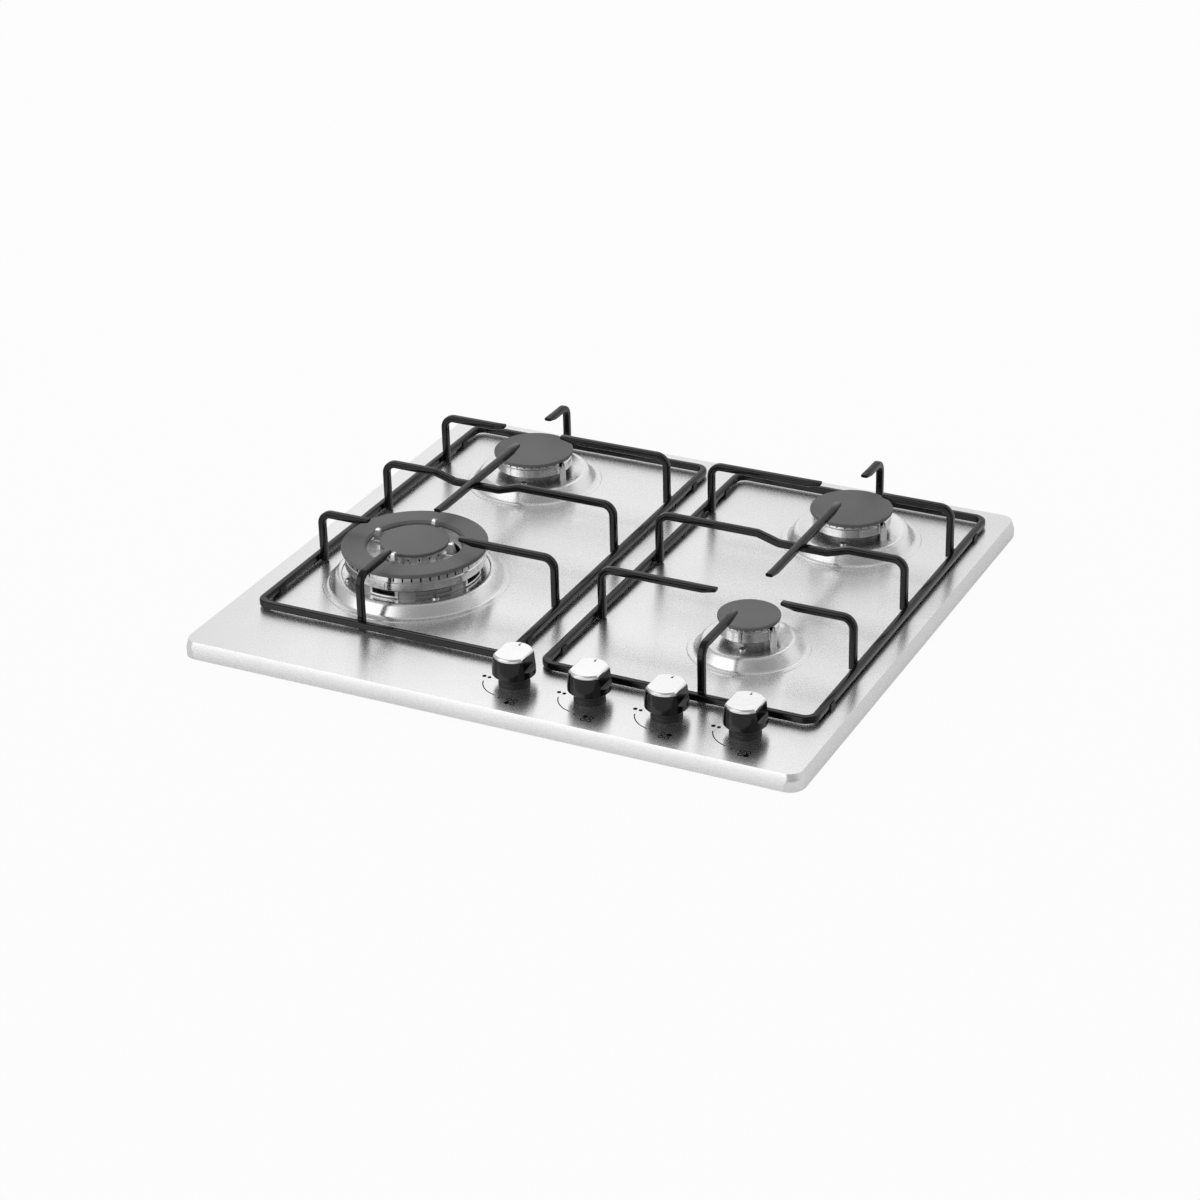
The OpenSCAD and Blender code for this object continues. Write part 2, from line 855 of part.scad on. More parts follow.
// Ceramic spark plugs with their steel pins, in the notches of the bands
module spark_plugs() {
    pin_r = ceramic_r / 4;
    color("white")
        for (b = burners)
            plug_place(b) {
                tip_z = z_deck + band_top(b) - 2 * ceramic_r;
                low_z = z_dish - plate_t - cup_flange_t - 4 * ceramic_r;
                translate([0, 0, low_z])
                    cylinder(r = ceramic_r, h = tip_z - low_z);
                translate([0, 0, tip_z])
                    cylinder(r = pin_r, h = ceramic_r);
            }
}

// Outline of a round spreader: the band with its floor, the spigot in the cup and the mixing tube
module spreader_outline(b) {
    r = band_r(b);
    low = band_low(b);
    top = band_top(b);
    spigot = neck_r(b) - cup_wall - gap;
    polygon([
        [spigot, low], [r - band_edge, low], [r, low + band_edge],
        [r, top - port_h - 2 * band_step], [r - band_step, top - port_h - band_step],
        [r - band_step, top],
        [r - band_wall, top], [r - band_wall, low + plate_floor], [tube_r, low + plate_floor],
        [tube_r - band_edge / 2, low + 3 * plate_floor], [tube_bore_r, low + 3 * plate_floor],
        [tube_bore_r, low - spigot_h], [tube_r, low - spigot_h], [tube_r, low],
        [spigot - cap_lip_t, low], [spigot - cap_lip_t, low - spigot_h], [spigot, low - spigot_h]
    ]);
}

// Gas ports: slots cut down from the rim of a band; blind is how far from the axes they stay away
module port_slots(b, r, h, count, blind = 0) {
    for (i = [0 : count - 1]) {
        a = (i + 0.5) * 360 / count;
        if (abs((a + 45) % 90 - 45) >= blind)
            rotate([0, 0, a])
                translate([r - band_wall - cut, -port_w / 2, band_top(b) - h])
                    cube([band_wall + 2 * cut, port_w, h + cut]);
    }
}

module plug_notch(b) {
    rotate([0, 0, plug_turn(b)])
        translate([band_r(b), 0, band_low(b) - cut])
            cylinder(r = ceramic_r + 2 * gap, h = band_top(b));
}

module spreader(b, ports) {
    color("silver")
        translate([at(b).x, at(b).y, z_deck])
            difference() {
                rotate_extrude()
                    spreader_outline(b);
                port_slots(b, band_r(b), port_h, ports);
                plug_notch(b);
            }
}

module rear_left_spreader() { spreader(rear_left, 30); }
module rear_right_spreader() { spreader(rear_right, 30); }
module aux_spreader() { spreader(aux, 22); }

// Outline of a round cap with its locating lip
module cap_outline(r, lip_r, t) {
    polygon(concat(
        [[0, t]],
        reversed(arc_points([r - cap_edge_r, t - cap_edge_r], cap_edge_r, 0, 90)),
        [[r, cap_edge_r / 2], [r - cap_edge_r / 2, 0], [lip_r, 0], [lip_r, -cap_lip_h],
         [lip_r - cap_lip_t, -cap_lip_h], [lip_r - cap_lip_t, 0], [0, 0]]
    ));
}

module cap(b) {
    color("dimgray")
        translate([at(b).x, at(b).y, z_deck + band_top(b)])
            rotate_extrude()
                cap_outline(cap_r(b), band_r(b) - band_wall - gap, cap_t);
}

module rear_left_cap() { cap(rear_left); }
module rear_right_cap() { cap(rear_right); }
module aux_cap() { cap(aux); }

/* Triple-ring burner */

wok_ports = 48;
core_port_r = 0.9;
mark_turn = 274;
mark_depth = 1;
// Places round the inner burner: a rib with a port at each, but a tooth at every fifth
core_places = 20;
core_rib_r = 2;
core_rib_out = 1.2;
core_rise = 3.3;
trough_z = 24;
trough_t = 2.2;
trough_edge_r = 4;
trough_window = 34;
// Bridges over the trough, and the teeth on them that steady a pan with a round base
bridge_w = 6;
bridge_z = 32.7;
tooth_h = 12.2;
tooth_w = 8.4;
tooth_tip_w = 4;
tooth_t = 5;
tooth_tip_t = 3;
wok_cap_t = 4;
ring_bevel = 2.2;

core_band_r = band_share * wok_core_r;
ring_wall_r = wok_ring_r + band_wall;
tooth_at_r = (wok_ring_r + wok_core_r) / 2;

// Outline of the outer channel, the trough and the inner burner of the large spreader
module wok_spreader_outline() {
    r = band_r(wok);
    low = band_low(wok);
    top = band_top(wok);
    spigot = neck_r(wok) - cup_wall - gap;
    core_top = top + core_rise;
    polygon(concat([
        [spigot, low], [r - band_edge, low], [r, low + band_edge],
        [r, top - wok_port_h - 2 * band_step], [r - band_step, top - wok_port_h - band_step],
        [r - band_step, top],
        [r - band_wall, top], [r - band_wall, low + plate_floor], [ring_wall_r, low + plate_floor],
        [ring_wall_r, top], [wok_ring_r, top]
    ], trough_line(trough_z, trough_edge_r), [
        [core_band_r, core_top], [core_band_r - band_wall, core_top],
        [core_band_r - band_wall, low + plate_floor], [tube_r, low + plate_floor],
        [tube_r - band_edge / 2, low + 3 * plate_floor], [tube_bore_r, low + 3 * plate_floor],
        [tube_bore_r, low - spigot_h], [tube_r, low - spigot_h], [tube_r, low], [core_band_r, low],
        [core_band_r, trough_z - trough_t], [wok_ring_r, trough_z - trough_t], [wok_ring_r, low],
        [spigot - cap_lip_t, low], [spigot - cap_lip_t, low - spigot_h], [spigot, low - spigot_h]
    ]));
}

// Hollow floor of the trough, from the outer channel's wall to the inner burner's
function trough_line(z, r) = concat(
    arc_points([wok_ring_r - r, z + r], r, 0, -90),
    arc_points([core_band_r + r, z + r], r, -90, -180)
);

// Bridge across the trough, with hollow flanks that run down to its floor
module bridge() {
    flank_r = bridge_z - trough_z;
    flank = concat(
        arc_points([bridge_w / 2 + flank_r, bridge_z], flank_r, 180, 270),
        [[bridge_w / 2 + flank_r, trough_z - trough_t / 2]]
    );
    intersection() {
        rotate([90, 0, 90])
            linear_extrude(ring_wall_r)
                polygon(concat(flank, reversed([for (p = flank) [-p.x, p.y]])));
        ring(wok_ring_r + band_wall / 2, core_band_r - band_wall / 2, bridge_z + cut);
    }
}

// Outline of a tooth with its round tip, seen from one side
module tooth_outline(low_w, tip_w) {
    polygon(concat(
        [[-low_w / 2, 0]],
        reversed(arc_points([0, tooth_h - tip_w / 2], tip_w / 2, 0, 180)),
        [[low_w / 2, 0]]
    ));
}

// Tooth on a bridge, tapered both across and along it
module tooth() {
    translate([tooth_at_r, 0, bridge_z - weld_in])
        intersection() {
            rotate([90, 0, 0])
                translate([0, 0, -tooth_w])
                    linear_extrude(2 * tooth_w)
                        tooth_outline(tooth_w, tooth_tip_w);
            rotate([90, 0, 90])
                translate([0, 0, -tooth_w])
                    linear_extrude(2 * tooth_w)
                        tooth_outline(tooth_t, tooth_tip_t);
        }
}

// Groove in the polished band that shows which way round the spreader sits
module band_mark() {
    rotate([0, 0, mark_turn])
        translate([band_r(wok) - mark_depth, -port_w / 2, band_low(wok) + 2 * band_edge])
            cube([mark_depth + cut, port_w, band_top(wok) - band_low(wok) - wok_port_h - 4 * band_edge]);
}

// Puts its child at each rib of the inner burner
module core_rib_places() {
    for (i = [0 : core_places - 1])
        if (i % 5 != 0)
            rotate([0, 0, i * 360 / core_places])
                children();
}

module wok_spreader() {
    color("silver")
        translate([at(wok).x, at(wok).y, z_deck]) {
            difference() {
                union() {
                    rotate_extrude()
                        wok_spreader_outline();
                    core_rib_places()
                        translate([core_band_r + core_rib_out - core_rib_r, 0, trough_z])
                            cylinder(r = core_rib_r, h = band_top(wok) + 3 * core_port_r - trough_z);
                }
                port_slots(wok, band_r(wok), wok_port_h, wok_ports, window_turn / 4);
                band_mark();
                plug_notch(wok);
                core_rib_places()
                    translate([core_band_r - band_wall - cut, 0, band_top(wok) + core_port_r])
                        rotate([0, 90, 0])
                            cylinder(r = core_port_r, h = band_wall + core_rib_out + 2 * cut);
                for (i = [0 : 3])
                    rotate([0, 0, 45 + 90 * i - trough_window / 2])
                        rotate_extrude(angle = trough_window)
                            translate([core_band_r + trough_edge_r / 2, trough_z - trough_t - cut])
                                square([wok_ring_r - core_band_r - trough_edge_r, trough_t + 2 * cut]);
            }
            for (i = [0 : 3])
                rotate([0, 0, 90 * i]) {
                    bridge();
                    tooth();
                }
        }
}

// Ring-shaped outer cap with a bevelled inner edge
module wok_ring_cap() {
    lip_out = band_r(wok) - band_wall - gap;
    lip_in = ring_wall_r + gap;
    color("dimgray")
        translate([at(wok).x, at(wok).y, z_deck + band_top(wok)])
            rotate_extrude()
                polygon(concat(
                    reversed(arc_points([wok_cap_r - cap_edge_r, wok_cap_t - cap_edge_r], cap_edge_r, 0, 90)),
                    [[wok_cap_r, cap_edge_r / 2], [wok_cap_r - cap_edge_r / 2, 0],
                     [lip_out, 0], [lip_out, -cap_lip_h],
                     [lip_out - cap_lip_t, -cap_lip_h], [lip_out - cap_lip_t, 0], [lip_in + cap_lip_t, 0],
                     [lip_in + cap_lip_t, -cap_lip_h], [lip_in, -cap_lip_h], [lip_in, 0], [wok_ring_r, 0],
                     [wok_ring_r, wok_cap_t - ring_bevel], [wok_ring_r + ring_bevel, wok_cap_t]]
                ));
}

module wok_core_cap() {
    color("dimgray")
        translate([at(wok).x, at(wok).y, z_deck + band_top(wok) + core_rise])
            rotate_extrude()
                cap_outline(wok_core_r, core_band_r - band_wall - gap, cap_t);
}

/* Pan supports */

tip_run = 13;
tip_rise = 3.2;
dip_low = 46;
dip_ramp = 20;
mitre_over = 0.05;
cross_front = 75;
cross_rear = 81;
// Depth that welded bars sink into each other
weld_in = 0.4;
foot_inset = 38;
foot_l = 9;
foot_wall = 1;

// Height of the finger bars' middle line above the frame's middle line
finger_z = pan_h - bar;
leg_run = pan_h - bar / 2 - bend_r;
leg_x = support_w / 2 - 1.5 * bar + weld_in;
leg_y = support_d / 2 - 1.5 * bar + weld_in;

function support_x(side) = layout_shift + side * support_pitch_x / 2;
// Burner centres as seen from the middle of a support
function burner_dx(side) = side * (burner_pitch_x - support_pitch_x) / 2;
front_dy = -front_burner_y - support_y;
rear_dy = rear_burner_y - support_y;

module bar_outline() {
    side = bar - 2 * bar_edge;
    polygon([
        [-bar / 2, -side / 2], [-side / 2, -bar / 2], [side / 2, -bar / 2], [bar / 2, -side / 2],
        [bar / 2, side / 2], [side / 2, bar / 2], [-side / 2, bar / 2], [-bar / 2, side / 2]
    ]);
}

// The closed frame: four bars and four bent corners
module bar_frame() {
    run_x = support_w - bar - 2 * bend_r;
    run_y = support_d - bar - 2 * bend_r;
    translate([-run_x / 2, (bar - support_d) / 2, 0])
        bent([run_x, run_y, run_x, run_y], [90, 90, 90, 90], bend_r)
            bar_outline();
}

// Wedge that thins the underside of a finger at its tip, which lies at x = 0
module tip_wedge() {
    rotate([90, 0, 0])
        translate([0, 0, -bar])
            linear_extrude(2 * bar)
                polygon([
                    [-tip_run, -bar / 2], [cut, tip_rise / tip_run * (tip_run + cut) - bar / 2],
                    [cut, -bar / 2 - cut], [-tip_run, -bar / 2 - cut]
                ]);
}

// A leg on the frame that bends over into a finger; dir is where the finger points
module finger(x, y, dir, reach) {
    translate([x, y, 0])
        rotate([0, 0, dir])
            difference() {
                translate([0, 0, -bar / 2])
                    rotate([90, -90, 0])
                        bent([leg_run, reach - bend_r], [-90], bend_r)
                            bar_outline();
                translate([reach, 0, finger_z])
                    tip_wedge();
            }
}

// A straight bar between two points of the plane Y = 0, with an overrun at each end
module straight_bar(start, end, overs) {
    way = end - start;
    translate([start.x, 0, start.y])
        rotate([0, -atan2(way.y, way.x), 0])
            translate([-overs[0], 0, 0])
                rotate([90, 0, 90])
                    linear_extrude(norm(way) + overs[0] + overs[1])
                        bar_outline();
}

// The member from side to side, which dips one bar's height under the cross bar;
// the bars of the dip overrun each corner, so that they close it like a mitre
module cross_member(dx) {
    dip = bar - weld_in;
    over = bar / 2 * tan(atan2(dip, dip_ramp) / 2) + mitre_over;
    high_x = dip_low / 2 + dip_ramp;
    left = [dx - high_x, finger_z];
    left_low = [dx - dip_low / 2, finger_z - dip];
    right_low = [dx + dip_low / 2, finger_z - dip];
    right = [dx + high_x, finger_z];
    translate([0, member_y - support_y, 0]) {
        for (s = [-1, 1])
            translate([s * leg_x, 0, -bar / 2])
                rotate([0, 0, s > 0 ? 180 : 0])
                    rotate([90, -90, 0])
                        bent([leg_run], [-90], bend_r)
                            bar_outline();
        straight_bar([bend_r - leg_x, finger_z], left, [0, over]);
        straight_bar(left, left_low, [over, over]);
        straight_bar(left_low, right_low, [over, over]);
        straight_bar(right_low, right, [over, over]);
        straight_bar(right, [leg_x - bend_r, finger_z], [over, 0]);
    }
}

// The bar that lies across the dip and points at both burners
module cross_bar(dx) {
    translate([dx, member_y - support_y, finger_z])
        rotate([0, 0, 90])
            difference() {
                translate([-cross_front, 0, 0])
                    rotate([90, 0, 90])
                        linear_extrude(cross_front + cross_rear)
                            bar_outline();
                translate([cross_rear, 0, 0])
                    tip_wedge();
                translate([-cross_front, 0, 0])
                    mirror([1, 0, 0])
                        tip_wedge();
            }
}

module support(side) {
    dx = burner_dx(side);
    front_reach = side < 0 ? wok_tip_reach : tip_reach;
    color("black")
        translate([support_x(side), support_y, z_deck + foot_gap + bar / 2]) {
            bar_frame();
            for (s = [-1, 1]) {
                finger(s * leg_x, front_dy, s < 0 ? 0 : 180, leg_x - s * dx - front_reach);
                finger(s * leg_x, rear_dy, s < 0 ? 0 : 180, leg_x - s * dx - tip_reach);
            }
            finger(dx, -leg_y, 90, leg_y + front_dy - front_reach);
            finger(dx, leg_y, -90, leg_y - rear_dy - tip_reach);
            cross_member(dx);
            cross_bar(dx);
        }
}

module support_left() { support(-1); }
module support_right() { support(1); }

// Rubber clips under the side bars that stand on the plate
module support_feet(side) {
    color("dimgray")
        for (x = [-1, 1], y = [-1, 1])
            translate([support_x(side) + x * (support_w - bar) / 2,
                       support_y + y * (support_d / 2 - foot_inset) + foot_l / 2, z_deck])
                rotate([90, 0, 0])
                    linear_extrude(foot_l)
                        difference() {
                            translate([-bar / 2 - foot_wall, 0])
                                square([bar + 2 * foot_wall, foot_gap + 0.6 * bar]);
                            translate([0, foot_gap + bar / 2])
                                bar_outline();
                        }
}

module support_left_feet() { support_feet(-1); }
module support_right_feet() { support_feet(1); }

/* Knobs */

collar_r = 13.5;
collar_h = 8.5;
collar_groove = 0.8;
collar_spigot_h = 3;
collar_bore_r = 4;
knob_low = 9.5;
knob_edge = 1;
knob_draft = 0.9;
skirt_top = 15.5;
flare_r = 4;
knob_wall = 3;
hub_r = 6;
insert_t = 3.4;
insert_edge = 1.2;
insert_inset = 0.9;
index_r = 1.1;
spindle_rise = 22;
spindle_flat = 2.2;
flat_from = 8;
stop_r = 4.5;
stop_t = 2;

body_top = knob_h - insert_t;
recess_top = knob_low + knob_push + gap;

// Rubber collars round the spindles, pressed into the plate
module knob_collars() {
    color("dimgray")
        for (k = [1 : 4])
            translate([tap_x(k), -knob_y, z_deck])
                rotate_extrude()
                    polygon([
                        [collar_bore_r, -collar_spigot_h], [knob_hole_r - fit_gap, -collar_spigot_h],
                        [knob_hole_r - fit_gap, 0],
                        [collar_r, 0], [collar_r, collar_h / 2 - collar_groove],
                        [collar_r - collar_groove, collar_h / 2], [collar_r, collar_h / 2 + collar_groove],
                        [collar_r, collar_h - knob_edge], [collar_r - knob_edge, collar_h],
                        [collar_bore_r, collar_h]
                    ]);
}

// A round shaft with a flat along +X
module flatted_shaft(r, flat, h) {
    intersection() {
        cylinder(r = r, h = h);
        translate([-r - cut, -r - cut, 0])
            cube([r + cut + flat, 2 * (r + cut), h]);
    }
}

module spindle(k) {
    tongue_l = 1.2 * plug_r;
    tongue_w = plug_slot_w - 2 * fit_gap;
    tongue_z = plug_z + plug_l - plug_slot_h + knob_push + gap;
    round_z = plug_z + plug_l - plug_socket_h + knob_push + gap;
    flat_z = z_deck + flat_from;
    top_z = z_deck + spindle_rise;
    color("silver")
        translate([tap_x(k), -knob_y, 0]) {
            translate([-tongue_l / 2, -tongue_w / 2, tongue_z])
                cube([tongue_l, tongue_w, plug_z + plug_l - tongue_z - gap]);
            translate([0, 0, round_z])
                cylinder(r = spindle_r, h = flat_z - round_z);
            translate([0, 0, tap_top_z + bonnet_t + 2 * lever_t + knob_push + gap])
                cylinder(r = stop_r, h = stop_t);
            translate([0, 0, flat_z])
                flatted_shaft(spindle_r, spindle_flat, top_z - flat_z);
        }
}

module spindle_1() { spindle(1); }
module spindle_2() { spindle(2); }
module spindle_3() { spindle(3); }
module spindle_4() { spindle(4); }

// Front view of a knob's body: flats above, flaring out into the round skirt
module knob_front() {
    side = concat(
        [[knob_flat - knob_draft, body_top]],
        arc_points([knob_flat + flare_r, skirt_top + flare_r], flare_r, 180, 270),
        [[knob_flat + flare_r, knob_low - cut]]
    );
    polygon(concat(side, reversed([for (p = side) [-p.x, p.y]])));
}

module knob(k) {
    color("black")
        translate([tap_x(k), -knob_y, z_deck])
            difference() {
                intersection() {
                    rotate_extrude()
                        polygon([
                            [0, knob_low], [knob_r - knob_edge, knob_low], [knob_r, knob_low + knob_edge],
                            [knob_r, skirt_top], [knob_r - knob_draft, body_top], [0, body_top]
                        ]);
                    rotate([90, 0, 0])
                        translate([0, 0, -knob_r - cut])
                            linear_extrude(2 * (knob_r + cut))
                                knob_front();
                }
                translate([0, 0, knob_low - cut])
                    cylinder(r = collar_r + 2 * gap, h = recess_top - knob_low + cut);
                translate([0, 0, recess_top - cut])
                    ring(knob_flat - knob_wall, hub_r, body_top - knob_wall - recess_top + cut);
                flatted_shaft(spindle_r + fit_gap, spindle_flat + fit_gap, spindle_rise + gap);
            }
}

module knob_1() { knob(1); }
module knob_2() { knob(2); }
module knob_3() { knob(3); }
module knob_4() { knob(4); }

// Metal cover on a knob's top, with a bevelled edge and the index dot at its back
module knob_insert(k) {
    r = knob_r - knob_draft - insert_inset / 2;
    flat = knob_flat - knob_draft - insert_inset / 2;
    color("gainsboro")
        translate([tap_x(k), -knob_y, z_deck + body_top])
            difference() {
                intersection() {
                    rotate_extrude()
                        polygon(concat([[0, 0]], insert_edge_line(r), [[0, insert_t]]));
                    rotate([90, 0, 0])
                        translate([0, 0, -r - cut])
                            linear_extrude(2 * (r + cut))
                                polygon(concat(
                                    insert_edge_line(flat),
                                    reversed([for (p = insert_edge_line(flat)) [-p.x, p.y]])
                                ));
                }
                translate([0, r - insert_edge - 2 * index_r, insert_t - index_r / 2])
                    cylinder(r = index_r, h = cut);
            }
}

// Side of the insert with its bevel, at a distance from the middle
function insert_edge_line(x) = [[x, 0], [x, insert_t - insert_edge], [x - insert_edge, insert_t]];

module knob_insert_1() { knob_insert(1); }
module knob_insert_2() { knob_insert(2); }
module knob_insert_3() { knob_insert(3); }
module knob_insert_4() { knob_insert(4); }

/* Ignition and mains */

generator_w = 62;
generator_d = 38;
generator_h = 25;
generator_at = [20, 40];
generator_edge = 3;
post_r = 2.5;
post_h = 5;
ear_r = 5;
switch_w = 14;
switch_d = 10;
switch_h = 13;
switch_y = 11.5;
lever_w = 5;
lever_t = 0.5;
flat_cable_t = 2;
flat_cable_h = 5;
gland_flange_r = 10;
gland_flange_t = 2;
gland_bore_r = 4;
gland_l = 16;

// Spark generator on the floor of the box: housing, fixing ears and the posts of the four leads
module spark_generator() {
    color("black")
        translate([generator_at.x, generator_at.y, box_t]) {
            difference() {
                union() {
                    linear_extrude(generator_h)
                        round_rect(generator_w, generator_d, generator_edge);
                    for (s = [-1, 1])
                        translate([s * generator_w / 2, 0, 0])
                            cylinder(r = ear_r, h = generator_edge);
                }
                for (s = [-1, 1])
                    translate([s * (generator_w / 2 + ear_r / 2), 0, -cut])
                        cylinder(r = box_screw_r, h = generator_edge + 2 * cut);
            }
            for (share = [-0.36, -0.12, 0.12, 0.36])
                translate([share * generator_w, 0, generator_h])
                    ring(post_r, post_r / 2, post_h);
        }
}

// Push switches in front of the taps, joined by a flat cable
module switch_strip() {
    low = tap_top_z + bonnet_t + lever_t - switch_h;
    color("dimgray") {
        for (k = [1 : 4])
            translate([tap_x(k), -knob_y - switch_y, 0]) {
                translate([-switch_w / 2, -switch_d, low])
                    cube([switch_w, switch_d, switch_h]);
                translate([-lever_w / 2, -cut, tap_top_z + bonnet_t + lever_t / 2])
                    cube([lever_w, switch_y - spindle_r - gap + cut, lever_t]);
            }
        translate([tap_x(1), -knob_y - switch_y - switch_d, low])
            cube([tap_x(4) - tap_x(1), flat_cable_t, flat_cable_h]);
    }
}

// Gland in the back wall for the mains lead
module cable_gland() {
    color("black")
        translate([gland_x, box_d / 2 - box_t - gland_flange_t, gland_z])
            rotate([-90, 0, 0])
                difference() {
                    union() {
                        cylinder(r = gland_flange_r, h = gland_flange_t);
                        cylinder(r = gland_hole_r - fit_gap, h = gland_l);
                        translate([0, 0, gland_flange_t + box_t + fit_gap])
                            cylinder(r = gland_hole_r + gland_flange_t / 2, h = gland_flange_t);
                    }
                    translate([0, 0, -cut])
                        cylinder(r = gland_bore_r, h = gland_l + 2 * cut);
                }
}

top_plate();
worktop_seal();
burner_box();
box_screws();
worktop_clamps();
clamp_screws();
gas_rail();
rail_saddles();
inlet_pipe();
inlet_nipple();
feed_pipes();
pipe_nuts();
tap_body_1();
tap_body_2();
tap_body_3();
tap_body_4();
tap_bonnets();
wok_cup();
rear_left_cup();
rear_right_cup();
aux_cup();
cup_screws();
gas_jets();
spark_plugs();
spark_generator();
switch_strip();
cable_gland();
knob_collars();
support_left();
support_left_feet();
support_right();
support_right_feet();
wok_spreader();
wok_ring_cap();
wok_core_cap();
rear_left_spreader();
rear_left_cap();
rear_right_spreader();
rear_right_cap();
aux_spreader();
aux_cap();
tap_plug_1();
tap_plug_2();
tap_plug_3();
tap_plug_4();
spindle_1();
spindle_2();
spindle_3();
spindle_4();
knob_1();
knob_2();
knob_3();
knob_4();
knob_insert_1();
knob_insert_2();
knob_insert_3();
knob_insert_4();
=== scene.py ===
import json
import math

import bmesh
import bpy
from mathutils import Matrix, Vector
from mathutils.bvhtree import BVHTree

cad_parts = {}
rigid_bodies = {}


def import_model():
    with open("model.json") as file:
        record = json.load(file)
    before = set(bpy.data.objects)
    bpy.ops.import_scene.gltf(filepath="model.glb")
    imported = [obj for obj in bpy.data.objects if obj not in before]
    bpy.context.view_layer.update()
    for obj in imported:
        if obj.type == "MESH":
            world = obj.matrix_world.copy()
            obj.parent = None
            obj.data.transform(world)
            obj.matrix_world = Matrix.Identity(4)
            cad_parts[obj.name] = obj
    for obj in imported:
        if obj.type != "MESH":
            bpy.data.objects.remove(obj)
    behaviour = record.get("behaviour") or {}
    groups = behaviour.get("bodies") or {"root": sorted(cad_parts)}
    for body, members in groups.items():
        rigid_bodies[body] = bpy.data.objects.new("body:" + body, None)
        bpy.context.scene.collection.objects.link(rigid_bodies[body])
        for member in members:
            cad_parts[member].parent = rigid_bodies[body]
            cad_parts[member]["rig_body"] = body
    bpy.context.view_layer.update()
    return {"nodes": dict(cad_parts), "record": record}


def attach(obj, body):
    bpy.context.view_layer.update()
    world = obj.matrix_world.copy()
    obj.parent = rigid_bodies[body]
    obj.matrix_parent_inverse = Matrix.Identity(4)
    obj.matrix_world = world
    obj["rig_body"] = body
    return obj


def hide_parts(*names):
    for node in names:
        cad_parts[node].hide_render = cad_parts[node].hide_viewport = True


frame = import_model()
nodes = frame["nodes"]
# The dictionaries of values below are in millimetres and degrees, unless they say otherwise
mm = 0.001
print("frame loaded")


# Shader helpers

# Gives a socket a value, or links it to another node's output
def feed(tree, socket, value):
    if isinstance(value, bpy.types.NodeSocket):
        tree.links.new(value, socket)
    else:
        socket.default_value = value


def node(tree, kind, sockets, **settings):
    made = tree.nodes.new(kind)
    for key, value in settings.items():
        setattr(made, key, value)
    for key, value in sockets.items():
        feed(tree, made.inputs[key], value)
    return made


def newMaterial(name):
    mat = bpy.data.materials.new(name)
    mat.use_nodes = True
    tree = mat.node_tree
    return mat, tree, tree.nodes["Principled BSDF"]


def objectCoords(tree, scale=(1, 1, 1)):
    coords = tree.nodes.new("ShaderNodeTexCoord").outputs["Object"]
    return node(tree, "ShaderNodeMapping", {"Vector": coords, "Scale": scale}).outputs["Vector"]


def noise(tree, vector, scale, detail, rough):
    sockets = {"Vector": vector, "Scale": scale, "Detail": detail, "Roughness": rough}
    return node(tree, "ShaderNodeTexNoise", sockets).outputs["Fac"]


def spread(tree, value, low, high, fromLow=0.3, fromHigh=0.7):
    sockets = {
        "Value": value, "From Min": fromLow, "From Max": fromHigh, "To Min": low, "To Max": high,
    }
    return node(tree, "ShaderNodeMapRange", sockets).outputs["Result"]


def maths(tree, operation, a, b):
    return node(tree, "ShaderNodeMath", {0: a, 1: b}, operation=operation).outputs["Value"]


def tint(tree, value, colourA, colourB):
    sockets = {"Factor": value, "A": (*colourA, 1), "B": (*colourB, 1)}
    return node(tree, "ShaderNodeMix", sockets, data_type="RGBA").outputs["Result"]


def grey(value):
    return (value, value, value)


# Shared by all finishes: how the fine and the broad grain are made, and the part of their
# mean over which the colour changes
grainValues = {
    "rough": 0.5, "fineDetail": 3, "broadScale": 9, "broadDetail": 2, "toneFrom": 0.35,
    "toneTo": 0.65,
}


# One finish: colours between two tones, roughness between two values, and a grain.
# stretch pulls the grain out along an axis, as brushing does; brushed spreads the reflections
# along across, which is square to the brushing or turning lines.
def finish(name, toneA, toneB, rough, metallic=0.0, grain=400.0, stretch=(1, 1, 1), depth=0.02,
           strength=0.3, specular=0.5, brushed=0.0, across=(0, 1, 0)):
    v = grainValues
    mat, tree, shader = newMaterial(name)
    fine = noise(tree, objectCoords(tree, stretch), grain, v["fineDetail"], v["rough"])
    broad = noise(tree, objectCoords(tree), v["broadScale"], v["broadDetail"], v["rough"])
    mean = maths(tree, "MULTIPLY", maths(tree, "ADD", fine, broad), 1 / 2)
    tone = spread(tree, mean, 0, 1, v["toneFrom"], v["toneTo"])
    relief = node(tree, "ShaderNodeBump",
                  {"Height": fine, "Strength": strength, "Distance": depth * mm})
    sockets = {
        "Base Color": tint(tree, tone, toneA, toneB), "Roughness": spread(tree, fine, *rough),
        "Metallic": metallic, "Specular IOR Level": specular, "Anisotropic": brushed,
        "Normal": relief.outputs["Normal"],
    }
    if brushed:
        way = node(tree, "ShaderNodeCombineXYZ", dict(zip("XYZ", across)))
        sockets["Tangent"] = way.outputs["Vector"]
    for key, value in sockets.items():
        feed(tree, shader.inputs[key], value)
    return mat


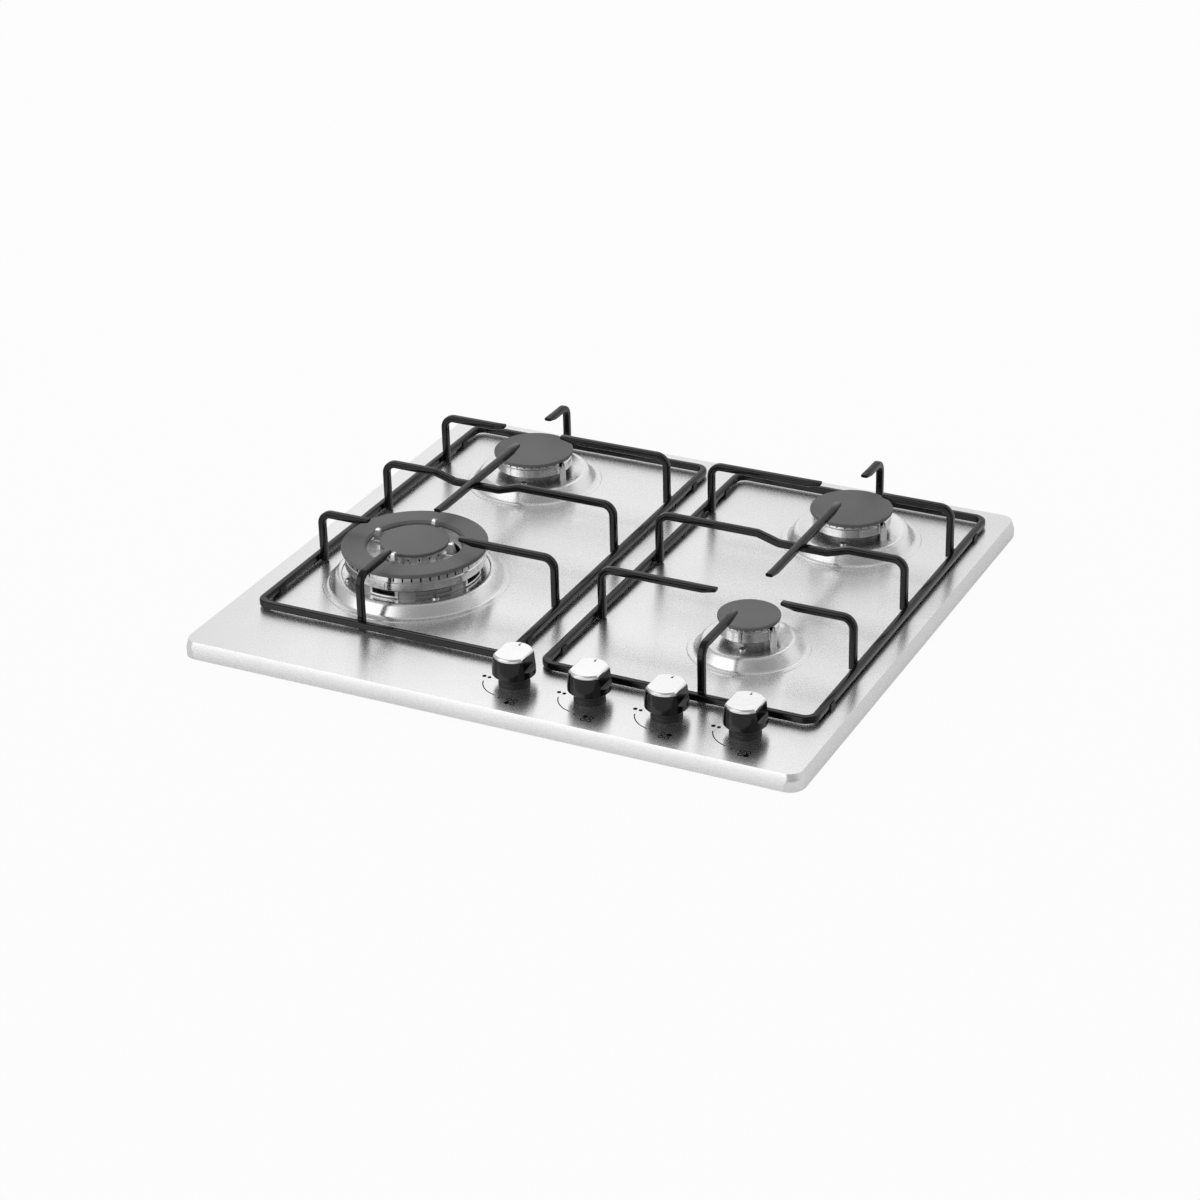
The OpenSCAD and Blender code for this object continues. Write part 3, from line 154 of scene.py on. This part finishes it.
finishes = {
    "plate_steel": finish("brushedPlate", grey(0.78), grey(0.83), (0.24, 0.29), 1.0, 2400,
                          (0.12, 1, 1), 0.004, 0.03, brushed=0.8),
    "box_steel": finish("zincSheet", grey(0.42), grey(0.55), (0.35, 0.5), 1.0, 60, depth=0.01),
    "zinc_screws": finish("zincScrew", grey(0.5), grey(0.62), (0.22, 0.32), 1.0, 500),
    "seal_foam": finish("sealFoam", grey(0.02), grey(0.04), (0.8, 0.95), 0, 1500, depth=0.1),
    "rail_alu": finish("drawnTube", grey(0.5), grey(0.6), (0.28, 0.4), 1.0, 300, (0.05, 1, 1)),
    "pipe_alu": finish("softPipe", grey(0.6), grey(0.7), (0.3, 0.42), 1.0, 200),
    "brass_parts": finish("turnedBrass", (0.66, 0.45, 0.17), (0.75, 0.54, 0.24), (0.25, 0.36), 1.0,
                          500),
    "cup_alu": finish("castCup", grey(0.36), grey(0.46), (0.36, 0.5), 1.0, 900, depth=0.05),
    "burner_alu": finish("turnedBand", grey(0.74), grey(0.82), (0.16, 0.22), 1.0, 1500,
                         (0.2, 0.2, 4), 0.004, 0.04, brushed=0.9, across=(0, 0, 1)),
    "cap_enamel": finish("capEnamel", grey(0.115), grey(0.185), (0.5, 0.62), 0, 850, depth=0.05),
    "bar_enamel": finish("barEnamel", grey(0.003), grey(0.006), (0.10, 0.17), 0, 150, depth=0.04,
                         specular=0.32),
    "ceramic": finish("ceramic", grey(0.75), grey(0.85), (0.15, 0.25), 0, 300),
    "black_plastic": finish("blackPlastic", grey(0.008), grey(0.014), (0.3, 0.42), 0, 900,
                            depth=0.03),
    "knob_plastic": finish("knobPlastic", grey(0.003), grey(0.006), (0.08, 0.14), 0, 600,
                           depth=0.01, specular=0.4),
    "insert_metal": finish("insertMetal", grey(0.86), grey(0.90), (0.16, 0.24), 1.0, 2600,
                           (0.02, 1, 1), 0.002, 0.06, brushed=0.7),
    "foot_rubber": finish("footRubber", grey(0.01), grey(0.02), (0.5, 0.65), 0, 700),
}
# Further finishes: near-black painted shade for the burners' inner walls and port mouths, printed
# ink, and the cast metal of teeth and bridges
paintedShadeFinish = finish("burnerPaintedShade", grey(0.004), grey(0.012), (0.7, 0.9), 0, 700, depth=0.05)
inkFinish = finish("printInk", grey(0.002), grey(0.004), (0.8, 0.95), 0, 900, depth=0.01,
                   specular=0.1)
castFinish = finish("castTeeth", grey(0.74), grey(0.84), (0.26, 0.36), 1.0, 1300, depth=0.03)
slotOf = {p["node"]: p["material_slot"] for p in frame["record"]["subparts"]}
for name, obj in nodes.items():
    obj.data.materials.clear()
    obj.data.materials.append(finishes[slotOf[name]])
print("finishes made")


# Studio: a pale floor at the worktop's level with the cut-out for the box, a world whose
# brightness changes with the direction, and one soft lamp at the back

# Lengths in metres. glow is the floor's share of pure white where the camera sees it, and
# mirrored the same where a polished face mirrors it; the rest of either is paint.
floorValues = {
    "z": 0.0499, "reach": 6.0, "holeX": 0.28, "holeY": 0.25, "paint": 0.93, "rough": 0.9,
    "glow": 0.94, "mirrored": 0.32,
}


def makeFloor():
    v = floorValues
    corners = ((-1, -1), (1, -1), (1, 1), (-1, 1))
    outer = [(i * v["reach"], j * v["reach"], v["z"]) for i, j in corners]
    inner = [(i * v["holeX"], j * v["holeY"], v["z"]) for i, j in corners]
    faces = [(i, (i + 1) % 4, (i + 1) % 4 + 4, i + 4) for i in range(4)]
    mesh = bpy.data.meshes.new("floor")
    mesh.from_pydata(outer + inner, [], faces)
    floor = bpy.data.objects.new("floor", mesh)
    bpy.context.scene.collection.objects.link(floor)
    mat, tree, shader = newMaterial("floorPaint")
    shader.inputs["Base Color"].default_value = (*grey(v["paint"]), 1)
    shader.inputs["Roughness"].default_value = v["rough"]
    mesh.materials.append(mat)
    path = tree.nodes.new("ShaderNodeLightPath").outputs
    seen = maths(tree, "MAXIMUM", path["Is Camera Ray"], path["Is Transmission Ray"])
    share = maths(tree, "MAXIMUM", maths(tree, "MULTIPLY", seen, v["glow"]),
                  maths(tree, "MULTIPLY", path["Is Glossy Ray"], v["mirrored"]))
    glow = tree.nodes.new("ShaderNodeEmission").outputs["Emission"]
    mix = node(tree, "ShaderNodeMixShader", {"Fac": share, 1: shader.outputs["BSDF"], 2: glow})
    tree.links.new(mix.outputs["Shader"], tree.nodes["Material Output"].inputs["Surface"])


# A level all round, and patches laid over it in turn. Each patch has the azimuth and elevation
# of its middle, the angles from there up to which it is full and beyond which it is gone, and
# its level.
worldValues = {
    "level": 0.5,
    "patches": {
        "back": ((117, 14), 26, 39, 0.99),
        "front": ((318, 30), 36, 50, 0.34),
        "left": ((238, 16), 27, 37, 1.75),
        "right": ((50, 20), 25, 42, 0.95),
        "gap": ((304, 24), 6, 11, 0.10),
        "shade": ((107, 36), 3, 12, 0.55),
    },
}


def wayOf(azimuth, elevation):
    az, el = math.radians(azimuth), math.radians(elevation)
    return Vector((math.cos(az) * math.cos(el), math.sin(az) * math.cos(el), math.sin(el)))


def patch(tree, way, base, aim, full, gone, level):
    dot = node(tree, "ShaderNodeVectorMath", {0: way, 1: wayOf(*aim)}, operation="DOT_PRODUCT")
    inner, outer = math.cos(math.radians(full)), math.cos(math.radians(gone))
    share = spread(tree, dot.outputs["Value"], 0, 1, outer, inner)
    return node(tree, "ShaderNodeMix", {"Factor": share, "A": base, "B": level}).outputs["Result"]


def makeWorld():
    world = bpy.data.worlds.new("studio")
    world.use_nodes = True
    bpy.context.scene.world = world
    tree = world.node_tree
    way = tree.nodes.new("ShaderNodeTexCoord").outputs["Generated"]
    bright = worldValues["level"]
    for v in worldValues["patches"].values():
        bright = patch(tree, way, bright, *v)
    background = tree.nodes["Background"]
    feed(tree, background.inputs["Color"], (1, 1, 1, 1))
    feed(tree, background.inputs["Strength"], bright)


# Metres and watts
lampValues = {"place": (-0.6, 1.7, 2.1), "size": (2.0, 1.2), "power": 5.5}


# The lamp is aimed at the origin
def makeLamp():
    v = lampValues
    data = bpy.data.lights.new("softboxBack", "AREA")
    data.shape = "RECTANGLE"
    data.size, data.size_y = v["size"]
    data.energy = v["power"]
    lamp = bpy.data.objects.new("softboxBack", data)
    bpy.context.scene.collection.objects.link(lamp)
    lamp.location = v["place"]
    lamp.rotation_euler = (-Vector(v["place"])).to_track_quat("-Z", "Y").to_euler()


makeFloor()
makeWorld()
makeLamp()
bpy.context.scene.view_settings.view_transform = "Standard"
print("studio ready")


# Camera at the photograph's place

# distance and target in metres, focal and photoWidth in pixels
cameraValues = {
    "azimuth": 26.79, "elevation": 27.19, "roll": -1.48, "distance": 2.7659,
    "target": (-0.00379, -0.01873, 0.05), "focal": 3104.1, "photoWidth": 1200, "sensor": 36,
}


def makeCamera():
    v = cameraValues
    az, el, roll = (math.radians(v[key]) for key in ("azimuth", "elevation", "roll"))
    back = Vector((math.sin(az) * math.cos(el), -math.cos(az) * math.cos(el), math.sin(el)))
    right = (-back).cross(Vector((0, 0, 1))).normalized()
    up = right.cross(-back)
    turnedRight = right * math.cos(roll) + up * math.sin(roll)
    turnedUp = up * math.cos(roll) - right * math.sin(roll)
    data = bpy.data.cameras.new("camera")
    data.sensor_width = v["sensor"]
    data.lens = v["focal"] / v["photoWidth"] * v["sensor"]
    camera = bpy.data.objects.new("camera", data)
    bpy.context.scene.collection.objects.link(camera)
    place = Vector(v["target"]) + back * v["distance"]
    turned = Matrix((turnedRight, turnedUp, back)).transposed().to_4x4()
    camera.matrix_world = Matrix.Translation(place) @ turned
    bpy.context.scene.camera = camera


makeCamera()
print("camera placed")


# Piece helpers

# smooth is the largest angle across an edge that is shaded smooth and hard the smallest that
# is rounded off; merge and flat are the limits for joining points and faces
meshValues = {"smooth": 32, "merge": 0.002, "flat": 0.6, "hard": 30, "roundSegments": 2}


def newPiece(name, bm, body, slotName, replaced=()):
    limit = math.radians(meshValues["smooth"])
    for face in bm.faces:
        face.smooth = True
    for edge in bm.edges:
        edge.smooth = not (len(edge.link_faces) == 2 and edge.calc_face_angle() > limit)
    mesh = bpy.data.meshes.new(name)
    bm.to_mesh(mesh)
    bm.free()
    piece = bpy.data.objects.new(name, mesh)
    bpy.context.scene.collection.objects.link(piece)
    mesh.materials.append(finishes[slotName])
    if replaced:
        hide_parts(*replaced)
    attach(piece, body)
    return piece


# A merged copy of a CAD node, with its hard edges rounded off; others pairs each further
# finish with a test of the faces that take it, and shape may move points first
def refined(name, width, others=(), shape=None):
    v = meshValues
    bm = bmesh.new()
    bm.from_mesh(nodes[name].data)
    bmesh.ops.remove_doubles(bm, verts=bm.verts, dist=v["merge"] * mm)
    if shape:
        shape(bm)
    bmesh.ops.dissolve_limit(bm, angle_limit=math.radians(v["flat"]), verts=bm.verts,
                             edges=bm.edges)
    limit = math.radians(v["hard"])
    edges = [e for e in bm.edges if len(e.link_faces) == 2 and e.calc_face_angle() > limit]
    bmesh.ops.bevel(bm, geom=edges, offset=width * mm, offset_type="OFFSET",
                    segments=v["roundSegments"], profile=0.5, affect="EDGES", clamp_overlap=True,
                    material=-1)
    for index, (look, test) in enumerate(others, 1):
        for face in bm.faces:
            if test(face.calc_center_median() / mm, face.normal):
                face.material_index = index
    piece = newPiece(name + "Fine", bm, nodes[name]["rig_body"], slotOf[name], [name])
    for look, test in others:
        piece.data.materials.append(look)
    even = piece.modifiers.new("evenNormals", "WEIGHTED_NORMAL")
    even.keep_sharp = True


# Pan supports: round-edged square bars, drawn along their runs and bends

# Middles of the burners, and the x that the two supports lie symmetric about
layout = {"left": -158, "right": 166, "front": -75.5, "rear": 155.5, "middleX": 4}
supportValues = {
    "bar": 6.5, "edge": 1.7, "edgeSegments": 4, "bend": 10, "bendStep": 7.5, "fewestSteps": 3,
    "width": 253, "depth": 417, "pitch": 280, "middleY": 26.5, "low": 67.0, "high": 117.0,
    "tipRun": 13, "tipRise": 3.2, "endRound": 0.5, "endSegments": 2, "merge": 0.01,
    "memberY": 42, "dipLow": 46, "dipRamp": 20, "crossFront": 75, "crossRear": 81,
    "smallReach": 30, "wokReach": 46, "weld": 0.4, "beadLong": 2.85, "beadShort": 1.2,
    "beadSides": 12, "beadRings": 8,
}


def firstFace(parts):
    return next(part for part in parts if isinstance(part, bmesh.types.BMFace))


# Raises the underside of a bar's end by the tip's rise
def thinEnd(face):
    v = supportValues
    top = max(vert.co.z for vert in face.verts)
    ratio = 1 - v["tipRise"] / v["bar"]
    for vert in face.verts:
        vert.co.z = top - (top - vert.co.z) * ratio


# One bar from a start along a heading: each step is a run's length or a bend's (degrees, axis).
# thin names the ends whose underside is raised. A closed bar joins its two ends, and any other
# has its last end rounded.
def drawBar(whole, start, heading, side, steps, thin=(), closed=False):
    v = supportValues
    bm = bmesh.new()
    made = bmesh.ops.create_grid(bm, x_segments=1, y_segments=1, size=v["bar"] / 2 * mm)
    bmesh.ops.bevel(bm, geom=made["verts"], offset=v["edge"] * mm, offset_type="OFFSET",
                    segments=v["edgeSegments"], profile=0.5, affect="VERTICES",
                    clamp_overlap=False, material=-1)
    place, heading, side = Vector(start) * mm, Vector(heading), Vector(side)
    across = Matrix((side, heading.cross(side), heading)).transposed().to_4x4()
    bmesh.ops.transform(bm, matrix=Matrix.Translation(place) @ across, verts=bm.verts)
    bm.faces.ensure_lookup_table()
    first = last = bm.faces[0]
    for step in steps:
        if isinstance(step, tuple):
            degrees, axis = step[0], Vector(step[1])
            centre = place + axis.cross(heading) * v["bend"] * mm
            spun = bmesh.ops.spin(bm, geom=[last, *last.edges, *last.verts], cent=centre, axis=axis,
                                  angle=math.radians(degrees),
                                  steps=max(v["fewestSteps"], round(degrees / v["bendStep"])),
                                  use_merge=False, use_normal_flip=False, use_duplicate=False)
            last = firstFace(spun["geom_last"])
            turn = Matrix.Rotation(math.radians(degrees), 3, axis)
            place = centre + turn @ (place - centre)
            heading = turn @ heading
        else:
            grown = bmesh.ops.extrude_face_region(bm, geom=[last])
            last = firstFace(grown["geom"])
            bmesh.ops.translate(bm, vec=heading * step * mm, verts=last.verts)
            place = place + heading * step * mm
    for end, face in (("start", first), ("end", last)):
        if end in thin:
            thinEnd(face)
    if closed:
        bmesh.ops.delete(bm, geom=[first, last], context="FACES_ONLY")
        bmesh.ops.remove_doubles(bm, verts=bm.verts, dist=v["merge"] * mm)
    else:
        bmesh.ops.bevel(bm, geom=list(last.edges), offset=v["endRound"] * mm, offset_type="OFFSET",
                        segments=v["endSegments"], profile=0.5, affect="EDGES", clamp_overlap=True,
                        material=-1)
    bmesh.ops.recalc_face_normals(bm, faces=bm.faces)
    part = bpy.data.meshes.new("bar")
    bm.to_mesh(part)
    bm.free()
    whole.from_mesh(part)
    bpy.data.meshes.remove(part)


# A weld bead beside a leg; along says for x, y and z whether the bead is long that way
def drawBead(whole, place, along):
    v = supportValues
    shape = Matrix.Diagonal((*[v["beadLong"] if a else v["beadShort"] for a in along], 1))
    bmesh.ops.create_uvsphere(whole, u_segments=v["beadSides"], v_segments=v["beadRings"],
                              radius=mm, matrix=Matrix.Translation(Vector(place) * mm) @ shape)


# A frame, six fingers that point at the burners, the member that dips between them, and the
# bar that crosses it. side is -1 for the left support and 1 for the right.
def makeSupport(side, name):
    v = supportValues
    bm = bmesh.new()
    middleX = layout["middleX"] + side * v["pitch"] / 2
    middleY = v["middleY"]
    burnerX = layout["left"] if side < 0 else layout["right"]
    barZ = v["low"] + v["bar"] / 2
    fingerZ = v["high"] - v["bar"] / 2
    runX = v["width"] - v["bar"] - 2 * v["bend"]
    runY = v["depth"] - v["bar"] - 2 * v["bend"]
    up, right, back = (0, 0, 1), (1, 0, 0), (0, 1, 0)
    corner = (90, up)
    drawBar(bm, (middleX, middleY - (v["depth"] - v["bar"]) / 2, barZ), right, back,
            [runX / 2, corner, runY, corner, runX, corner, runY, corner, runX / 2], closed=True)
    legX = v["width"] / 2 - 1.5 * v["bar"] + v["weld"]
    legY = v["depth"] / 2 - 1.5 * v["bar"] + v["weld"]
    legRise = fingerZ - v["bend"] - v["low"]
    frontReach = v["wokReach"] if side < 0 else v["smallReach"]

    def bead(x, y, way):
        outward = -Vector(way) * v["bar"] / 2
        onTop = Vector((x, y, v["low"] + v["bar"])) + outward
        drawBead(bm, onTop, (way[1] != 0, way[0] != 0, False))
        for s in (-1, 1):
            sideways = Vector((-way[1], way[0], 0)) * s * v["bar"] / 2
            drawBead(bm, Vector((x, y, barZ)) + outward + sideways, (False, False, True))

    def finger(x, y, way, toX, toY, reach):
        length = math.hypot(toX - x, toY - y) - reach
        axis = Vector(up).cross(Vector(way))
        drawBar(bm, (x, y, v["low"]), up, axis,
                [legRise, (90, axis), length - v["bend"] - v["tipRun"], v["tipRun"]], thin=("end",))
        bead(x, y, way)

    for burnerY, reach in ((layout["front"], frontReach), (layout["rear"], v["smallReach"])):
        for s in (-1, 1):
            finger(middleX + s * legX, burnerY, (-s, 0, 0), burnerX, burnerY, reach)
    finger(burnerX, middleY - legY, (0, 1, 0), burnerX, layout["front"], frontReach)
    finger(burnerX, middleY + legY, (0, -1, 0), burnerX, layout["rear"], v["smallReach"])

    dip = v["bar"] - v["weld"]
    slope = math.degrees(math.atan2(dip, v["dipRamp"]))
    cut = v["bend"] * math.tan(math.radians(slope) / 2)
    ramp = math.hypot(dip, v["dipRamp"]) - 2 * cut
    before = burnerX - v["dipLow"] / 2 - v["dipRamp"] - cut - (middleX - legX + v["bend"])
    after = (middleX + legX - v["bend"]) - (burnerX + v["dipLow"] / 2 + v["dipRamp"] + cut)
    over, under = (90, back), (0, -1, 0)
    drawBar(bm, (middleX - legX, v["memberY"], v["low"]), up, back,
            [legRise, over, before, (slope, back), ramp, (slope, under), v["dipLow"] - 2 * cut,
             (slope, under), ramp, (slope, back), after, over, legRise])
    for s in (-1, 1):
        bead(middleX + s * legX, v["memberY"], (-s, 0, 0))
    straight = v["crossFront"] + v["crossRear"] - 2 * v["tipRun"]
    drawBar(bm, (burnerX, v["memberY"] - v["crossFront"], fingerZ), back, right,
            [v["tipRun"], straight, v["tipRun"]], thin=("start", "end"))
    newPiece(name + "Bars", bm, nodes[name]["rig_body"], slotOf[name], [name])


makeSupport(-1, "support_left")
makeSupport(1, "support_right")
print("pan supports drawn")


# The rest of the visible parts: round off their edges

roundings = {
    "top_plate": 0.6, "wok_cup": 0.4, "rear_left_cup": 0.4, "rear_right_cup": 0.4, "aux_cup": 0.4,
    "wok_ring_cap": 0.5, "wok_core_cap": 0.5, "rear_left_cap": 0.5, "rear_right_cap": 0.5,
    "aux_cap": 0.5, "cup_screws": 0.15, "knob_collars": 0.4, "support_left_feet": 0.3,
    "support_right_feet": 0.3, "knob_1": 0.5, "knob_2": 0.5, "knob_3": 0.5, "knob_4": 0.5,
    "knob_insert_1": 0.35, "knob_insert_2": 0.35, "knob_insert_3": 0.35, "knob_insert_4": 0.35,
}
for name, width in roundings.items():
    refined(name, width)
print("edges rounded")


# Spreaders: turned bands outside, near-black painted shade inside, and cast metal round the wok
# burner's core

spreaderValues = {
    "wok_spreader": {
        "x": layout["left"], "y": layout["front"], "bandR": 63.2, "bandLow": 84.8,
        "coreR": 29.9, "ringR": 43, "portZ": 99.9, "places": 20,
        "tooth": {"low": 98.4, "high": 12, "reach": 37, "half": 5, "thicker": 0.5, "wider": 0.4},
    },
    "rear_left_spreader": {
        "x": layout["left"], "y": layout["rear"], "bandR": 36.2, "bandLow": 82.5,
    },
    "rear_right_spreader": {
        "x": layout["right"], "y": layout["rear"], "bandR": 36.2, "bandLow": 82.5,
    },
    "aux_spreader": {
        "x": layout["right"], "y": layout["front"], "bandR": 26.2, "bandLow": 82.9,
    },
}
# Shared: the rounding; the band's draft and the skin that it moves; how far inside the band,
# outside the ring and inside the core the near-black painted shade starts; and how far outside the
# ring the cast metal ends. A port's mouth takes the painted shade within portR of its middle and up
# to portOut outside the core, on faces whose normal has less than portFace of the outward way.
castValues = {
    "round": 0.2, "draft": 3.5, "skin": 1.2, "bandIn": 2.4, "ringOut": 0.8, "coreIn": 1,
    "castOut": 3.2, "portOut": 1.5, "portR": 1, "portFace": 0.5,
}


def reachOf(v, place):
    return math.hypot(place.x - v["x"], place.y - v["y"])


# Picks the faces that take the near-black painted shade: inside the band, in the wok burner's
# trough and core, and at its port mouths
def paintedShadeFaces(v):
    c = castValues

    def test(place, normal):
        reach = reachOf(v, place)
        if "coreR" not in v:
            return reach < v["bandR"] - c["bandIn"]
        inTrough = v["ringR"] + c["ringOut"] < reach < v["bandR"] - c["bandIn"]
        if inTrough or reach < v["coreR"] - c["coreIn"]:
            return True
        pitch = 360 / v["places"]
        turn = math.degrees(math.atan2(place.y - v["y"], place.x - v["x"])) % pitch
        aside = math.radians(min(turn, pitch - turn)) * reach
        nearPort = math.hypot(aside, place.z - v["portZ"]) < c["portR"]
        outward = (place - Vector((v["x"], v["y"], place.z))).normalized().dot(normal)
        return reach < v["coreR"] + c["portOut"] and nearPort and outward < c["portFace"]
    return test


def cast(v):
    def test(place, normal):
        return "coreR" in v and reachOf(v, place) < v["ringR"] + castValues["castOut"]
    return test


# Widens the foot of a tooth; out is the point's place from the burner's middle
def widenFoot(v, vert, out):
    tooth = v["tooth"]
    rise = vert.co.z / mm - tooth["low"]
    along, aside = sorted((out.x, out.y), key=abs, reverse=True)
    reach = math.copysign(tooth["reach"], along)
    if rise > 0 and abs(aside) < tooth["half"] and abs(along - reach) < tooth["half"]:
        foot = max(1 - rise / tooth["high"], 0)
        along = reach + (along - reach) * (1 + tooth["thicker"] * foot)
        aside *= 1 + tooth["wider"] * foot
        pair = (along, aside) if abs(out.x) > abs(out.y) else (aside, along)
        vert.co.x, vert.co.y = (pair[0] + v["x"]) * mm, (pair[1] + v["y"]) * mm


# The slight taper that a cast band has, and the wide feet of the teeth round the core
def tapered(v):
    def shape(bm):
        slope = math.tan(math.radians(castValues["draft"]))
        for vert in bm.verts:
            out = Vector((vert.co.x / mm - v["x"], vert.co.y / mm - v["y"], 0))
            if out.length > v["bandR"] - castValues["skin"]:
                height = max(vert.co.z / mm - v["bandLow"], 0)
                vert.co -= out.normalized() * height * slope * mm
            if "tooth" in v:
                widenFoot(v, vert, out)
    return shape


for name, v in spreaderValues.items():
    # Each spreader takes the cast metal and the near-black painted shade on the faces that the
    # tests pick
    others = [(castFinish, cast(v)), (paintedShadeFinish, paintedShadeFaces(v))]
    refined(name, castValues["round"], others, shape=tapered(v))
print("spreaders finished")


# Posts, sills and framed panels on the neck of the wok burner's cup

# windows and panels are the azimuths of their middles; sunk is the depth of each bar in the neck
postValues = {
    "x": layout["left"], "y": layout["front"], "r": 57.97, "low": 77.0, "high": 83.6, "sunk": 0.3,
    "out": 1.6, "turnStep": 3, "fewestSteps": 2, "windows": (270, 0, 90, 180), "windowTurn": 22,
    "postTurn": 2.6, "sill": 1.5, "sillDrop": 0.2, "panels": (234, 306, 324, 36, 54, 126, 144, 216),
    "panelTurn": 15, "border": 0.9, "inset": 0.6,
}


# Sections joined in turn, closed at both ends
def skinned(bm, rings):
    for low, high in zip(rings, rings[1:]):
        for i in range(len(low)):
            bm.faces.new((low[i], low[(i + 1) % len(low)], high[(i + 1) % len(low)], high[i]))
    bm.faces.new(reversed(rings[0]))
    bm.faces.new(rings[-1])


# One curved bar on the wok cup's neck, between two turns and two heights
def drawPlate(bm, start, turn, low, high):
    v = postValues
    steps = max(v["fewestSteps"], round(turn / v["turnStep"]))
    near, far = v["r"] - v["sunk"], v["r"] + v["out"]
    rings = []
    for i in range(steps + 1):
        angle = math.radians(start + turn * i / steps)
        way = Vector((math.cos(angle), math.sin(angle), 0))
        rings.append([bm.verts.new((Vector((v["x"], v["y"], z)) + way * reach) * mm)
                      for reach, z in ((near, low), (far, low), (far, high), (near, high))])
    skinned(bm, rings)


def makePanels():
    v = postValues
    bm = bmesh.new()
    low, high = v["low"] + v["inset"], v["high"] - v["inset"]
    borderTurn = math.degrees(v["border"] / v["r"])
    for middle in v["panels"]:
        start = middle - v["panelTurn"] / 2
        for foot in (low, high - v["border"]):
            drawPlate(bm, start, v["panelTurn"], foot, foot + v["border"])
        for edge in (start, start + v["panelTurn"] - borderTurn):
            drawPlate(bm, edge, borderTurn, low, high)
    bmesh.ops.recalc_face_normals(bm, faces=bm.faces)
    newPiece("neckPanels", bm, "frame_body", "cup_alu")


def makePosts():
    v = postValues
    bm = bmesh.new()
    for middle in v["windows"]:
        half = v["windowTurn"] / 2
        foot = v["low"] - v["sillDrop"]
        drawPlate(bm, middle - half, v["windowTurn"], foot, foot + v["sill"])
        for side in (-1, 1):
            edge = middle + side * half
            start = min(edge, edge + side * v["postTurn"])
            drawPlate(bm, start, v["postTurn"], v["low"], v["high"])
    bmesh.ops.recalc_face_normals(bm, faces=bm.faces)
    piece = newPiece("neckPosts", bm, "frame_body", "cup_alu")
    # The posts and sills take the teeth's bright cast finish instead of the cup's own: painted
    # light on the parts that stand out of the neck
    piece.data.materials[0] = castFinish


makePanels()
makePosts()
print("neck posts made")


# Marks printed on the plate beside each knob

# Each dot has its place from the knob and its radius. The plan of the burners has its place
# and its pitch; one of its corners is filled, and the others are rings.
markValues = {
    "deck": 65.5, "thick": 0.1, "sunk": 0.02, "line": 0.9, "knobX": (10.5, 80.9, 151.3, 221.7),
    "knobY": -210, "arcR": 26.5, "arcFrom": 197, "arcTurn": 60, "strokeSteps": 24, "dotSides": 28,
    "flame": (-28.5, 0, 1.9), "spark": (-23.4, -0.4, 1.7), "small": (0, -28.4, 0.9),
    "plan": (12.7, -31, 5.3), "corners": ((-1, -1), (-1, 1), (1, 1), (1, -1)), "ringR": 1.9,
}


# A flat printed line, bent round a centre
def drawStroke(bm, x, y, r, start, turn):
    v = markValues
    way = Vector((math.cos(math.radians(start)), math.sin(math.radians(start)), 0))
    near, far = r - v["line"] / 2, r + v["line"] / 2
    low = v["deck"] - v["sunk"]
    high = low + v["thick"]
    verts = [bm.verts.new((Vector((x, y, z)) + way * reach) * mm)
             for reach, z in ((near, low), (far, low), (far, high), (near, high))]
    face = bm.faces.new(verts)
    edges = list(face.edges)
    whole = turn == 360
    geom = [*edges, *verts] if whole else [face, *edges, *verts]
    if whole:
        bmesh.ops.delete(bm, geom=[face], context="FACES_ONLY")
    bmesh.ops.spin(bm, geom=geom, cent=Vector((x, y, 0)) * mm, axis=(0, 0, 1),
                   angle=math.radians(turn), steps=v["strokeSteps"], use_merge=whole,
                   use_normal_flip=False, use_duplicate=False)


def drawDot(bm, x, y, r):
    v = markValues
    place = Matrix.Translation(Vector((x, y, v["deck"] - v["sunk"] + v["thick"] / 2)) * mm)
    bmesh.ops.create_cone(bm, cap_ends=True, segments=v["dotSides"], radius1=r * mm, radius2=r * mm,
                          depth=v["thick"] * mm, matrix=place)


def makeMarks():
    v = markValues
    bm = bmesh.new()
    y = v["knobY"]
    planX, planY, pitch = v["plan"]
    for x, filled in zip(v["knobX"], v["corners"]):
        drawStroke(bm, x, y, v["arcR"], v["arcFrom"], v["arcTurn"])
        for place in (v["flame"], v["spark"], v["small"]):
            drawDot(bm, x + place[0], y + place[1], place[2])
        for corner in v["corners"]:
            atX = x + planX + corner[0] * pitch / 2
            atY = y + planY + corner[1] * pitch / 2
            if corner == filled:
                drawDot(bm, atX, atY, v["ringR"] + v["line"] / 2)
            else:
                drawStroke(bm, atX, atY, v["ringR"], 0, 360)
    bmesh.ops.recalc_face_normals(bm, faces=bm.faces)
    piece = newPiece("knobMarks", bm, "frame_body", "black_plastic")
    piece.data.materials[0] = inkFinish


makeMarks()
print("marks printed")


# The pointer dot near the rear edge of each knob's insert, laid on its domed top

# above is the height that the ray onto the insert starts from
pointerValues = {"r": 1.0, "sides": 24, "behind": 11.4, "thick": 0.12, "above": 200}


def makePointer(k, x, y):
    v = pointerValues
    insert = nodes["knob_insert_%d" % k]
    bm = bmesh.new()
    bm.from_mesh(insert.data)
    tree = BVHTree.FromBMesh(bm)
    start = Vector((x, y + v["behind"], v["above"])) * mm
    place, normal = tree.ray_cast(start, Vector((0, 0, -1)))[:2]
    bm.clear()
    turned = normal.to_track_quat("Z", "Y").to_matrix().to_4x4()
    bmesh.ops.create_cone(bm, cap_ends=True, segments=v["sides"], radius1=v["r"] * mm,
                          radius2=v["r"] * mm, depth=v["thick"] * mm,
                          matrix=Matrix.Translation(place) @ turned)
    piece = newPiece("pointer_%d" % k, bm, insert["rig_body"], "black_plastic")
    piece.data.materials[0] = inkFinish


for k, x in enumerate(markValues["knobX"], 1):
    makePointer(k, x, markValues["knobY"])
print("pointers laid")
